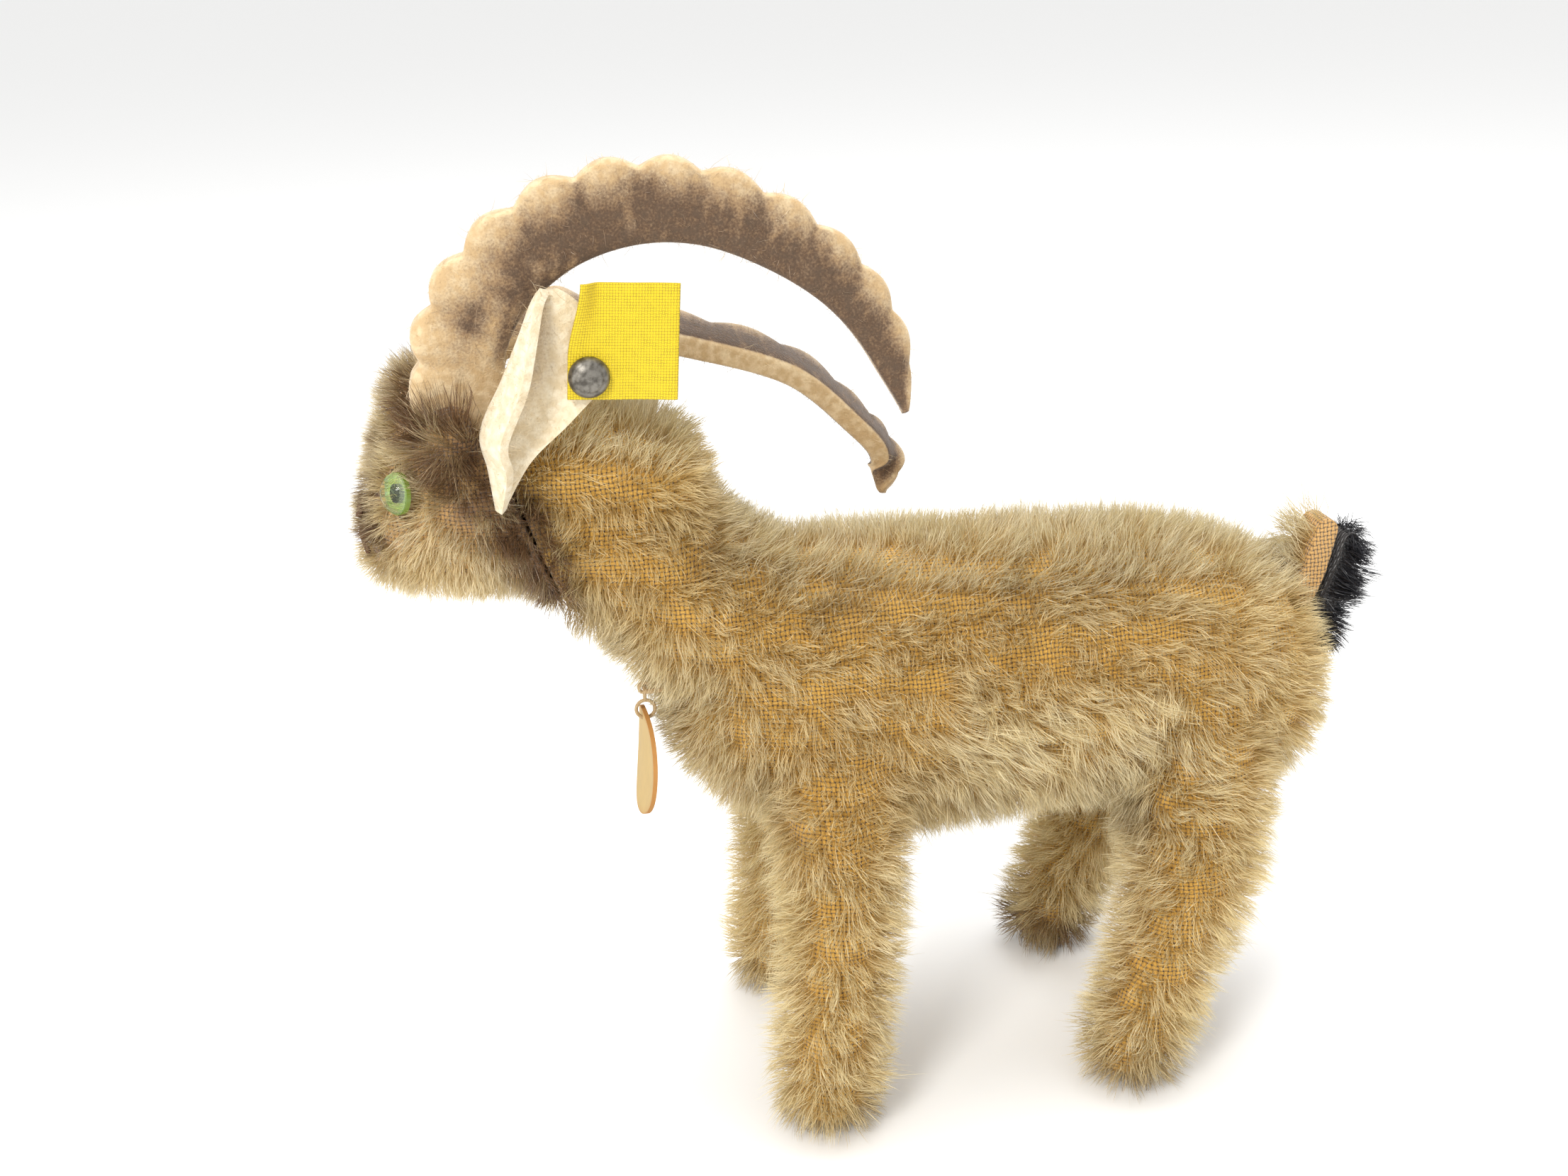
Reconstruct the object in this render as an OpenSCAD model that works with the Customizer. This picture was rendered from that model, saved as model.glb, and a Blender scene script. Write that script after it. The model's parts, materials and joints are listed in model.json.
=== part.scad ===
// Standing mohair mountain goat toy: stuffed trunk, neck and legs, disc-jointed head, wired felt horns,
// cupped felt ears, glass eyes, riveted ear flag and a round chest card.
// The goat faces -X, its left side faces -Y, and it stands on Z = 0.

/* [Skin] */
// Thickness of the mohair cloth with the root half of its pile
skin_t = 1.6; // [1.2:0.1:2.2]
// Air left between two neighbouring pieces
gap = 0.1; // [0.05:0.05:0.2]

/* [Neck joint] */
// Forward reach of the joint centre from the origin
joint_reach = 50; // [47:0.5:53]
// Height of the joint centre above the floor
joint_z = 90; // [88:0.5:92]
// Upward tilt of the joint axis, measured from the back of the head
joint_tilt = 18; // [12:1:22]
// Radius of each fibre disc
disc_r = 9.8; // [9:0.2:11]
// Thickness of each fibre disc
disc_t = 1.8; // [1.2:0.1:2.2]
// Radius of the cotter pin
pin_r = 1; // [0.8:0.1:1.2]
// Radial clearance of the pin in the neck disc
pin_play = 0.06; // [0.03:0.01:0.09]

/* [Legs] */
// Half of the distance between the left and the right foot centres
track = 19.6; // [18:0.2:21]
// Forward place of the front feet
front_foot_x = -15.4; // [-17:0.2:-13]
// Backward place of the rear feet
rear_foot_x = 30.2; // [28:0.2:32]
// Radius of the wire frame in the legs
frame_wire_r = 0.8; // [0.6:0.1:1]

/* [Horns] */
// Widest part of a horn
horn_w = 12.2; // [10:0.2:13]
// Thickness of a horn at its base
horn_t = 4.4; // [3.6:0.2:5]
// Number of scallops along a horn
scallops = 13; // [11:1:14]
// Radius of the wire in a horn
horn_wire_r = 0.5; // [0.4:0.05:0.6]

/* [Ears and eyes] */
// Thickness of the ear felt
ear_t = 1.2; // [1:0.1:1.5]
// Radius of a glass eye
eye_r = 2.8; // [2.6:0.1:3.2]
// Radius of the pupil
pupil_r = 1.2; // [0.9:0.1:1.5]

/* [Tags] */
// Radius of the ear button
button_r = 2.6; // [2.2:0.1:2.8]
// Width of the ear flag
flag_w = 13.8; // [12.6:0.2:15]
// Height of the ear flag
flag_h = 14.6; // [13:0.2:15.4]
// Radius of the chest card
card_r = 7.6; // [7:0.2:8.4]
// Thickness of the chest card
card_t = 0.8; // [0.6:0.1:1]

/* [Hidden] */

mohair = "burlywood";
pale_mohair = "wheat";
felt = "antiquewhite";
wood_wool = "khaki";
steel = "silver";
fibre = "peru";
thread = "saddlebrown";

joint_c = [-joint_reach, 0, joint_z];
lathe_fn = 48;
slice_fn = 24;
leg_fn = 20;
sliver = 0.02;

// Cross-sections from the chest to the rump: [x, y, z, tilt, half width, half height]
trunk_slices = [
    [-33.2, 0, 62.8, 0, 5, 7], [-30.4, 0, 62.8, 0, 10.5, 11.8], [-25, 0, 62.5, 0, 15, 17.5],
    [-15, 0, 61, 0, 17.5, 21.5], [0, 0, 59.8, 0, 18, 22.4], [20, 0, 59.8, 0, 17.8, 21],
    [38, 0, 59, 0, 18, 20.5], [50, 0, 57.5, 0, 17.5, 19], [58, 0, 56, 0, 13.5, 15.5],
    [62.6, 0, 55, 0, 7, 8]
];
// Cross-sections from the joint down into the trunk; the first lies on the joint plane
neck_slices = [
    [-50, 0, 90, joint_tilt, 13.2, 14.2], [-43.5, 0, 89.7, 2, 13.8, 14.8], [-35.5, 0, 85.7, -24, 14.3, 14.6],
    [-28.8, 0, 76.6, -40, 15.5, 12.8], [-20, 0, 69, -42, 15, 14]
];
// Cross-sections from the joint to the muzzle; the face looks a little to the right
head_slices = [
    [-50, 0, 90, joint_tilt, 12.8, 14], [-54.5, 0.4, 94.7, 13, 14.2, 15.2], [-60, 1.2, 96.5, 5, 13.8, 16.4],
    [-65.4, 2.2, 95.8, 2, 11.6, 15.2], [-68.9, 3.2, 92.8, -2, 8.6, 11.2], [-71, 3.8, 90.3, -5, 6.2, 7.4],
    [-72.1, 4.2, 90, -6, 3.6, 4.8]
];
// Leg cross-sections from the sole up into the trunk: [x, y, z, radius]
front_leg_slices = [
    [front_foot_x, track, 0, 5.6], [front_foot_x, track, 2, 7.4], [front_foot_x, track, 5, 8.1],
    [-14, 18.6, 17, 8], [-12, 16.4, 32, 8.8], [-11, 12.5, 46, 9.8], [-10.5, 9, 58, 8]
];
rear_leg_slices = [
    [rear_foot_x, track, 0, 5.6], [rear_foot_x, track, 2, 7.4], [rear_foot_x + 0.4, track, 5, 8.1],
    [34.4, 18.6, 16, 8.4], [40, 16, 29, 10], [43, 11.5, 44, 11], [44, 8.5, 57, 9]
];

// Centre lines of the horns from base to tip, as they are bent
horn_left_path = [
    [-57, -7, 109], [-56.4, -8, 116], [-52.2, -9.5, 123.6], [-44.2, -11, 129.8], [-34.6, -12, 132.4],
    [-25, -13, 131.4], [-15.6, -13.5, 126.8], [-8, -13.5, 120.4], [-3, -13, 112.4], [-0.4, -12.5, 103]
];
horn_right_path = [
    [-57, 7, 108], [-54.5, 8.5, 113.4], [-47.5, 11, 114.6], [-39, 13.5, 113], [-25.5, 17, 109],
    [-9.5, 20, 102.4], [1, 22, 92.6], [5.2, 22.8, 86.6], [5, 23, 80.5]
];
// Outward face of each horn at its base and at its tip
horn_left_faces = [[0, -1, 0.1], [0, -1, 0]];
horn_right_faces = [[0.1, 0.9, -0.5], [0, 0.25, -1]];
horn_steps = 52;

// The cupped ear: front edge, fold and back edge of the felt at each station from root to tip
ear_stations = [
    [[-53.4, -14.6, 95.4], [-54.2, -14.2, 95.8], [-53, -14.4, 96.2]],
    [[-52.4, -18.2, 101], [-55.6, -14.2, 101.4], [-49.6, -14.8, 101.6]],
    [[-52.8, -19.8, 105.4], [-56.8, -12.6, 106.2], [-43.8, -14.7, 106.6]],
    [[-49.8, -20, 112], [-53.8, -12.8, 112.2], [-38.6, -14.8, 112.4]],
    [[-48.2, -19, 117.6], [-50.6, -14, 117.4], [-39.6, -14.9, 118]],
    [[-47, -17.6, 121.8], [-48, -15.2, 121.6], [-42.6, -14.9, 122]],
    [[-46, -16.4, 123.4], [-46.4, -15.4, 123.2], [-44.6, -15, 123.4]]
];

// Middle of the button's hole on the flag's inner face, and the flag's lean
button_c = [-41.6, -16, 112.4];
flag_lean = -5;
flag_t = 0.6;
// Middle of the stitch that the chest card hangs on
stitch_c = [-36.5, -6, 65.4];
thread_r = 0.25;
card_drop = 3.2;
// Eyes: centre, direction round Z and lift, left then right
eyes = [[[-66.6, -7.4, 97], 206, 8], [[-64.4, 14, 97], 118, 8]];

function unit(v) = v / norm(v);
function mirrored(p, side) = [p[0], p[1] * side, p[2]];
function spline(a, b, c, d, t) = 0.5 * (2 * b + (c - a) * t + (2 * a - 5 * b + 4 * c - d) * t * t
    + (3 * b - a - 3 * c + d) * t * t * t);
function along(path, u) = let(n = len(path) - 1, i = min(floor(u * n), n - 1), t = u * n - i)
    spline(path[max(i - 1, 0)], path[i], path[i + 1], path[min(i + 2, n)], t);
function heading(path, u) = unit(along(path, min(u + 0.01, 1)) - along(path, max(u - 0.01, 0)));

// Joins closed rings of points into one solid
module loft(rings) {
    n = len(rings[0]);
    m = len(rings);
    sides = [for (i = [0:m - 2], j = [0:n - 1]) each
        let(k = (j + 1) % n) [[i * n + j, i * n + k, (i + 1) * n + k],
                              [i * n + j, (i + 1) * n + k, (i + 1) * n + j]]];
    caps = [[for (j = [n - 1:-1:0]) j], [for (j = [0:n - 1]) (m - 1) * n + j]];
    polyhedron([for (r = rings) each r], concat(caps, sides), convexity = 6);
}

// A thin oval cross-section, upright across X before its tilt
module slice(s, inset) {
    translate([s[0], s[1], s[2]]) rotate([0, 90 - s[3], 0]) linear_extrude(sliver)
        polygon([for (i = [0:slice_fn - 1]) let(a = 360 * i / slice_fn)
            [(s[5] - inset) * cos(a), (s[4] - inset) * sin(a)]]);
}

// A smooth stuffed form through oval cross-sections, made smaller all round by an inset
module form(slices, inset, first_shift, last_shift) {
    last = len(slices) - 1;
    for (i = [0:last - 1]) hull() {
        translate([i == 0 ? first_shift : 0, 0, 0]) slice(slices[i], inset);
        translate([i + 1 == last ? last_shift : 0, 0, 0]) slice(slices[i + 1], inset);
    }
}

module trunk(inset = 0) form(trunk_slices, inset, inset, -inset);
module neck(inset = 0) form(neck_slices, inset, 0, 0);
module skull(inset = 0) form(head_slices, inset, 0, inset);

// A leg through round cross-sections
module leg(slices, side, inset = 0) {
    for (i = [0:len(slices) - 2]) hull() for (s = [slices[i], slices[i + 1]])
        translate([s[0], s[1] * side, s[2] + (s[2] == 0 ? inset : 0)])
            cylinder(h = sliver, r = s[3] - inset, $fn = leg_fn);
}

// Places children in the joint's own frame, with Z along its axis towards the neck
module at_joint() translate(joint_c) rotate([0, 90 - joint_tilt, 0]) children();

// The space on one side of the joint plane: 1 for the neck, -1 for the head
module joint_side(side) at_joint() translate([-60, -60, side > 0 ? gap * 1.5 : -80 - gap * 1.5]) cube([120, 120, 80]);

// The room for the washer and the pin's end on one side of the joint
module joint_pocket(side) at_joint() mirror([0, 0, side > 0 ? 0 : 1]) {
    cylinder(h = disc_t + 3 * gap, r = disc_r + gap, $fn = lathe_fn);
    cylinder(h = disc_t + 4.6, r = 5, $fn = lathe_fn);
}

module gusset_zone(grow = 0) translate([-30 - grow, -9 - grow, 30]) cube([86 + 2 * grow, 18 + 2 * grow, 21 + grow]);
module half_space(side, cut = 0) translate([-100, side > 0 ? cut : -100 - cut, -10]) cube([200, 100, 180]);

module leg_rooms(inset) for (side = [-1, 1]) {
    leg(front_leg_slices, side, inset);
    leg(rear_leg_slices, side, inset);
}

module trunk_shell() difference() {
    trunk();
    trunk(skin_t);
    leg_rooms(skin_t);
    intersection() { neck(skin_t); joint_side(1); }
}

module side_panel(side) color(mohair) difference() {
    intersection() { trunk_shell(); half_space(side, gap / 2); }
    gusset_zone(gap);
}

module side_panel_left() side_panel(-1);
module side_panel_right() side_panel(1);
module belly_gusset() color(pale_mohair) intersection() { trunk_shell(); gusset_zone(); }

module trunk_stuffing() color(wood_wool) difference() {
    trunk(skin_t + gap);
    frame_wire(front_leg_slices, frame_wire_r + gap);
    frame_wire(rear_leg_slices, frame_wire_r + gap);
}

module neck_skin() color(mohair) difference() {
    intersection() { neck(); joint_side(1); }
    neck(skin_t);
    trunk(-gap);
}

module neck_stuffing() color(wood_wool) difference() {
    intersection() { neck(skin_t + gap); joint_side(1); }
    trunk(skin_t);
    joint_pocket(1);
}

module leg_skin(slices, side) color(mohair) difference() {
    leg(slices, side);
    translate([0, 0, skin_t]) leg(slices, side, skin_t);
    leg(slices, side, skin_t);
    trunk(-gap);
}

module leg_stuffing(slices, side) color(wood_wool) difference() {
    leg(slices, side, skin_t + gap);
    trunk(skin_t);
    frame_wire(slices, frame_wire_r + gap);
}

module front_left_leg_skin() leg_skin(front_leg_slices, -1);
module front_right_leg_skin() leg_skin(front_leg_slices, 1);
module rear_left_leg_skin() leg_skin(rear_leg_slices, -1);
module rear_right_leg_skin() leg_skin(rear_leg_slices, 1);
module front_left_leg_stuffing() leg_stuffing(front_leg_slices, -1);
module front_right_leg_stuffing() leg_stuffing(front_leg_slices, 1);
module rear_left_leg_stuffing() leg_stuffing(rear_leg_slices, -1);
module rear_right_leg_stuffing() leg_stuffing(rear_leg_slices, 1);

// A round bar from one point to another
module bar(a, b, r, fn = 16) {
    v = b - a;
    translate(a) rotate([0, acos(v[2] / norm(v)), atan2(v[1], v[0])]) cylinder(h = norm(v), r = r, $fn = fn);
}

// One bent wire that runs up a left leg, across the trunk and down the right leg
module frame_wire(slices, r) {
    foot = [slices[2][0], slices[2][1], slices[2][2]];
    knee = [slices[4][0], slices[4][1], slices[4][2]];
    hip = [slices[5][0], slices[5][1] - 2, slices[5][2] + 6];
    for (side = [-1, 1]) {
        bar(mirrored(foot, side), mirrored(knee, side), r);
        bar(mirrored(knee, side), mirrored(hip, side), r);
        for (p = [knee, hip]) translate(mirrored(p, side)) sphere(r = r, $fn = 16);
    }
    bar(mirrored(hip, -1), hip, r);
}

module front_frame_wire() color(steel) frame_wire(front_leg_slices, frame_wire_r);
module rear_frame_wire() color(steel) frame_wire(rear_leg_slices, frame_wire_r);

// One flat leaf of the tail, from its root on the rump to its tip
module tail_leaf(back, thick) {
    for (i = [0:1]) hull() for (s = [i, i + 1]) {
        root = [[61.6, 62.5], [64.4, 69.5], [66.8, 75.6]][s];
        wide = [3.6, 4.2, 2.8][s];
        translate([root[0] + back, 0, root[1] - back * 0.5]) rotate([90, 0, 0])
            cylinder(h = 2 * wide, r = thick / 2, center = true, $fn = 20);
    }
}

module tail_front() color(pale_mohair) difference() {
    tail_leaf(-1.2, 4.4);
    trunk(-gap);
}
module tail_back() color("black") difference() {
    union() {
        tail_leaf(3, 4);
        hull() for (p = [[64.2, 58.5], [67.2, 68.5]]) translate([p[0], 0, p[1]]) rotate([90, 0, 0])
            cylinder(h = 6.4, r = 2.4, center = true, $fn = 20);
    }
    tail_leaf(-1.2, 4.4 + 2 * gap);
    trunk(-gap);
}

module closing_stitches() color(thread) for (i = [0:5])
    translate([2 + i * 3, 0, 37.4 + i * 0.22]) rotate([90, 0, i % 2 == 0 ? 18 : -18])
        cylinder(h = 4, r = 0.3, center = true, $fn = 16);

// The stitch in the chest that the card's thread hangs on, as a bar with its two ends in the skin
module chest_stitch() color(thread) translate(stitch_c) {
    rotate([90, 0, 0]) cylinder(h = 3, r = 0.3, center = true, $fn = 24);
    for (side = [-1, 1]) translate([0, side * 1.5, 0]) {
        sphere(r = 0.3, $fn = 24);
        rotate([0, 90, 0]) cylinder(h = 2.6, r = 0.3, $fn = 24);
    }
}

module skull_shell() difference() {
    intersection() { skull(); joint_side(-1); }
    skull(skin_t);
    for (side = [-1, 1]) at_eye(side) eye_room();
    bar(eye_back(-1), eye_back(1), 0.4 + gap);
}

// The strip of cloth over the forehead and down the nose
module crown_zone(grow = 0) translate([-80, -5 - grow, 99 - grow]) rotate([0, 0, -8]) cube([44, 11 + 2 * grow, 30]);

module cheek(side) color(pale_mohair) difference() {
    intersection() { skull_shell(); half_space(side, gap / 2); }
    crown_zone(gap);
}
module cheek_left() cheek(-1);
module cheek_right() cheek(1);
module head_gusset() color(mohair) intersection() { skull_shell(); crown_zone(); }

module head_stuffing() color(wood_wool) difference() {
    intersection() { skull(skin_t + gap); joint_side(-1); }
    joint_pocket(-1);
    for (side = [-1, 1]) at_eye(side) eye_room();
    bar(eye_back(-1), eye_back(1), 0.4 + gap);
}

module disc(side) at_joint() mirror([0, 0, side > 0 ? 0 : 1]) translate([0, 0, gap * 1.5]) difference() {
    cylinder(h = disc_t, r = disc_r, $fn = lathe_fn);
    translate([0, 0, -1]) cylinder(h = disc_t + 2, r = pin_r + pin_play, $fn = lathe_fn);
}
module washer(side) at_joint() mirror([0, 0, side > 0 ? 0 : 1]) translate([0, 0, disc_t + gap * 2]) difference() {
    cylinder(h = 0.7, r = 4.4, $fn = lathe_fn);
    translate([0, 0, -1]) cylinder(h = 3, r = pin_r + pin_play, $fn = lathe_fn);
}
module neck_disc() color(fibre) disc(1);
module neck_washer() color(steel) washer(1);
module head_disc() color(fibre) disc(-1);
module head_washer() color(steel) washer(-1);

// The pin: a ring head on the head's side, and two ends bent over behind the neck's washer
module cotter_pin() color(steel) at_joint() {
    reach = disc_t + gap * 2 + 0.7 + 0.7;
    translate([0, 0, -reach]) cylinder(h = 2 * reach, r = pin_r, $fn = lathe_fn);
    for (z = [-reach, reach]) translate([0, 0, z]) {
        sphere(r = pin_r, $fn = lathe_fn);
        rotate([90, 0, 0]) cylinder(h = 7, r = 0.6, center = true, $fn = 24);
    }
}

// Half widths of a horn on its inner and its scalloped edge, at a place from base to tip
function taper(u) = pow(sin(min(95 + 85 * u, 179) - 90 * max(0, 0.12 - u)), 0.4);
function inner_w(u) = horn_w * 0.46 * taper(u);
function outer_w(u) = horn_w * (0.43 + 0.12 * abs(sin(180 * scallops * u))) * taper(u);

// One flat layer of a horn between two depths from its middle, as rings of four corners
module horn_layer(path, faces, side, d0, d1, edge) {
    loft([for (i = [0:horn_steps]) let(
            u = (side < 0 ? horn_steps - i : i) / horn_steps, c = along(path, u), t = heading(path, u),
            w = side * unit(cross(t, faces[0] + (faces[1] - faces[0]) * min(1, u * 2.5))),
            f = side * cross(w, t), s = 1 - 0.3 * u,
            a = max(inner_w(u) - edge, 0.3), b = max(outer_w(u) - edge, 0.3))
        [c + w * b + f * d0 * s, c + w * b + f * d1 * s, c - w * a + f * d1 * s, c - w * a + f * d0 * s]]);
}

module horn_felt(path, faces, side, layer) color(felt)
    horn_layer(path, faces, side, layer > 0 ? 0.25 * horn_t : -0.5 * horn_t,
               layer > 0 ? 0.5 * horn_t : -0.25 * horn_t, 0);

// The padding between the felts
module horn_core(path, faces, side) color(wood_wool)
    horn_layer(path, faces, side, -0.25 * horn_t + 3 * gap, 0.25 * horn_t - 3 * gap, 0.6);

// The wire in the padding, from inside the head to near the tip
module horn_wire(path) color(steel) {
    steps = 24;
    loft([for (i = [0:steps]) let(u = 0.8 * (1 - i / steps), c = along(path, u), t = heading(path, u),
            p = unit(cross(t, [0, 1, 0])), q = cross(t, p))
        [for (k = [0:7]) c + horn_wire_r * (cos(45 * k) * p + sin(45 * k) * q)]]);
}

module horn_left_outer_felt() horn_felt(horn_left_path, horn_left_faces, -1, 1);
module horn_left_inner_felt() horn_felt(horn_left_path, horn_left_faces, -1, -1);
module horn_left_core() horn_core(horn_left_path, horn_left_faces, -1);
module horn_left_wire() horn_wire(horn_left_path);
module horn_right_outer_felt() horn_felt(horn_right_path, horn_right_faces, 1, 1);
module horn_right_inner_felt() horn_felt(horn_right_path, horn_right_faces, 1, -1);
module horn_right_core() horn_core(horn_right_path, horn_right_faces, 1);
module horn_right_wire() horn_wire(horn_right_path);

// A cupped ear: the felt runs from the front edge round the fold to the back edge
module ear() color(felt) difference() {
    loft([for (s = ear_stations) let(f = s[0], v = s[1], k = s[2], t = min(ear_t, 0.35 * norm(f - k)))
        [f, v, k, k + t * unit(f - k), v + 1.4 * t * unit((f + k) / 2 - v), f + t * unit(k - f)]]);
    at_button() translate([0, 0, -5]) cylinder(h = 8, r = 0.94, $fn = lathe_fn);
}
module ear_left() ear();
// The right ear hangs lower, laid back and outwards
module ear_right() translate([-54, 14.6, 89.5]) rotate([-14, 38, 0]) translate([54, -14.6, -95.4])
    mirror([0, 1, 0]) ear();

// Places children on an eye: Z points out of it
module at_eye(side) {
    e = eyes[side < 0 ? 0 : 1];
    translate(e[0]) rotate([0, 90 - e[2], e[1]]) children();
}
module eye_room() translate([0, 0, -1.2]) cylinder(h = 6, r = eye_r + gap, $fn = lathe_fn);

module eye_glass(side) {
    rise = 1.9;
    ball_r = (eye_r * eye_r + rise * rise) / (2 * rise);
    color("lightgreen", 0.4) at_eye(side) intersection() {
        translate([0, 0, rise + 0.2 - ball_r]) sphere(r = ball_r, $fn = 64);
        translate([0, 0, 0.2]) cylinder(h = 4, r = 2 * eye_r, $fn = lathe_fn);
    }
}
module eye_iris(side) color("yellowgreen") at_eye(side) translate([0, 0, -0.6])
    cylinder(h = 0.6, r = eye_r, $fn = lathe_fn);
module eye_pupil(side) color("black") at_eye(side) cylinder(h = 0.2, r = pupil_r, $fn = lathe_fn);

module eye_left_glass() eye_glass(-1);
module eye_left_iris() eye_iris(-1);
module eye_left_pupil() eye_pupil(-1);
module eye_right_glass() eye_glass(1);
module eye_right_iris() eye_iris(1);
module eye_right_pupil() eye_pupil(1);

function eye_back(side) = let(e = eyes[side < 0 ? 0 : 1])
    e[0] - 0.6 * [cos(e[2]) * cos(e[1]), cos(e[2]) * sin(e[1]), sin(e[2])];
module eye_wire() color(steel) bar(eye_back(-1), eye_back(1), 0.4, 24);

// Embroidered threads that lie on the muzzle
module nose_stitches() color(thread) for (i = [-2:2])
    translate([-71.9, 4.2 + i * 0.9, 92.3]) rotate([0, 14, 0]) cylinder(h = 3 - 0.5 * abs(i), r = 0.42, center = true, $fn = 16);
module mouth_stitches() color(thread) for (side = [-1, 1])
    bar([-72.2, 4.2, 88.4], [-71.3, 4.2 + side * 3.6, 86.3], 0.36);

// Places children on the ear's rivet: Z points out of the button
module at_button() translate(button_c) rotate([90, 0, 0]) children();

module ear_button() color("dimgray") at_button() {
    rise = 1.5;
    ball_r = (button_r * button_r + rise * rise) / (2 * rise);
    base = flag_t + 3 * gap;
    intersection() {
        translate([0, 0, base + rise - ball_r]) sphere(r = ball_r, $fn = 64);
        translate([0, 0, base]) cylinder(h = 4, r = 2 * button_r, $fn = lathe_fn);
    }
    translate([0, 0, -2.6]) cylinder(h = base + 2.7, r = 0.94, $fn = lathe_fn);
}
module ear_button_washer() color("dimgray") at_button() translate([0, 0, -2.5]) difference() {
    cylinder(h = 0.5, r = 1.9, $fn = lathe_fn);
    translate([0, 0, -1]) cylinder(h = 3, r = 0.94, $fn = lathe_fn);
}

module ear_flag() color("gold") at_button() translate([0, 0, 1.5 * gap]) difference() {
    rotate([0, 0, flag_lean]) translate([-2.6, -2.9, 0]) cube([flag_w, flag_h, flag_t]);
    translate([0, 0, -1]) cylinder(h = 3, r = 1, $fn = lathe_fn);
}

module chest_card() color("tan") translate(stitch_c) translate([-card_t / 2, 0, -card_drop - card_r]) rotate([0, 90, 0])
    difference() {
        cylinder(h = card_t, r = card_r, $fn = 64);
        translate([-card_r + 1.3, 0, -1]) cylinder(h = 3, r = 0.4, $fn = 24);
    }

// A thread ring round the stitch, and a second one through the card's hole
module chest_thread() color(thread) translate(stitch_c) {
    rotate([90, 0, 0]) rotate_extrude($fn = 32) translate([0.7, 0]) circle(r = thread_r, $fn = 16);
    translate([0, 0, -1.95]) cylinder(h = 1.25, r = thread_r, $fn = 16);
    translate([0, 0, -card_drop]) rotate([90, 0, 0]) rotate_extrude($fn = 32) translate([1.3, 0])
        circle(r = thread_r, $fn = 16);
}

side_panel_left();
side_panel_right();
belly_gusset();
trunk_stuffing();
neck_skin();
neck_stuffing();
neck_disc();
neck_washer();
front_left_leg_skin();
front_right_leg_skin();
rear_left_leg_skin();
rear_right_leg_skin();
front_left_leg_stuffing();
front_right_leg_stuffing();
rear_left_leg_stuffing();
rear_right_leg_stuffing();
front_frame_wire();
rear_frame_wire();
tail_front();
tail_back();
closing_stitches();
chest_stitch();
cheek_left();
cheek_right();
head_gusset();
head_stuffing();
head_disc();
head_washer();
cotter_pin();
horn_left_outer_felt();
horn_left_inner_felt();
horn_left_core();
horn_left_wire();
horn_right_outer_felt();
horn_right_inner_felt();
horn_right_core();
horn_right_wire();
ear_left();
ear_right();
eye_left_glass();
eye_left_iris();
eye_left_pupil();
eye_right_glass();
eye_right_iris();
eye_right_pupil();
eye_wire();
nose_stitches();
mouth_stitches();
ear_button();
ear_button_washer();
ear_flag();
chest_card();
chest_thread();
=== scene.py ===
"""A mohair plush mountain goat with wired felt horns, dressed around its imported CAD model."""

import json
import logging
import math
from collections.abc import Callable, Sequence
from dataclasses import dataclass, field
from enum import Enum

import bmesh
import bpy
import numpy as np
from mathutils import Matrix, Vector
from mathutils.bvhtree import BVHTree
from mathutils.kdtree import KDTree

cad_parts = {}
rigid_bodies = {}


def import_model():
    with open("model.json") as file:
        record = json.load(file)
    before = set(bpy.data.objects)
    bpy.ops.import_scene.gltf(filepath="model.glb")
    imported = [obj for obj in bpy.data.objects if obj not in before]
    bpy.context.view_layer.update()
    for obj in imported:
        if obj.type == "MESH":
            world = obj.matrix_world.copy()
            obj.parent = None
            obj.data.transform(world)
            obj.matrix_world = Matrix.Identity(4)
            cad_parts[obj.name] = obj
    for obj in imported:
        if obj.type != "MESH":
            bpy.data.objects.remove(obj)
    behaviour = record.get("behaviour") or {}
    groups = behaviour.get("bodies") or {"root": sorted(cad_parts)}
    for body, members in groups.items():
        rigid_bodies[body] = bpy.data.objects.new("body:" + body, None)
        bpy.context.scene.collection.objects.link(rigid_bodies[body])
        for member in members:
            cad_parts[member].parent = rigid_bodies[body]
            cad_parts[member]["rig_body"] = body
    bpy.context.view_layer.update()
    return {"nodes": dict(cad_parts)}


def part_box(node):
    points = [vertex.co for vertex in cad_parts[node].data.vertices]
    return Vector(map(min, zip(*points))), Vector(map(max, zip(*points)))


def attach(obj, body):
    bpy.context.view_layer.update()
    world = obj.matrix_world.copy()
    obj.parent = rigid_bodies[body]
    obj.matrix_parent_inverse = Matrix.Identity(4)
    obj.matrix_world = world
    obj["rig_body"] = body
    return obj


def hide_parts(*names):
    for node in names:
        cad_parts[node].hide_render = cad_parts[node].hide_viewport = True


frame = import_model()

LOG = logging.getLogger("goat")
MM = 0.001
BAKE_MAP = "OFBake"

Point = tuple[float, float, float]
Colour = tuple[float, float, float, float]


def tone(red: int, green: int, blue: int) -> Colour:
    """Turns a display colour into the linear colour that shaders take.

    Args:
        red, green, blue: The channels from 0 to 255.

    Returns:
        The linear colour with full alpha.
    """
    def line(channel: int) -> float:
        """One channel made linear."""
        share = channel / 255
        return share / 12.92 if share <= 0.04045 else ((share + 0.055) / 1.055) ** 2.4

    return line(red), line(green), line(blue), 1.0


def ramp(values: np.ndarray, low: float, high: float) -> np.ndarray:
    """A smooth step from 0 at low to 1 at high, which may run either way."""
    share = np.clip((values - low) / (high - low), 0, 1)
    return share * share * (3 - 2 * share)


def unit(vectors: np.ndarray) -> np.ndarray:
    """The vectors at length one, along their last axis."""
    return vectors / np.maximum(np.linalg.norm(vectors, axis=-1, keepdims=True), 1e-9)


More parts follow.
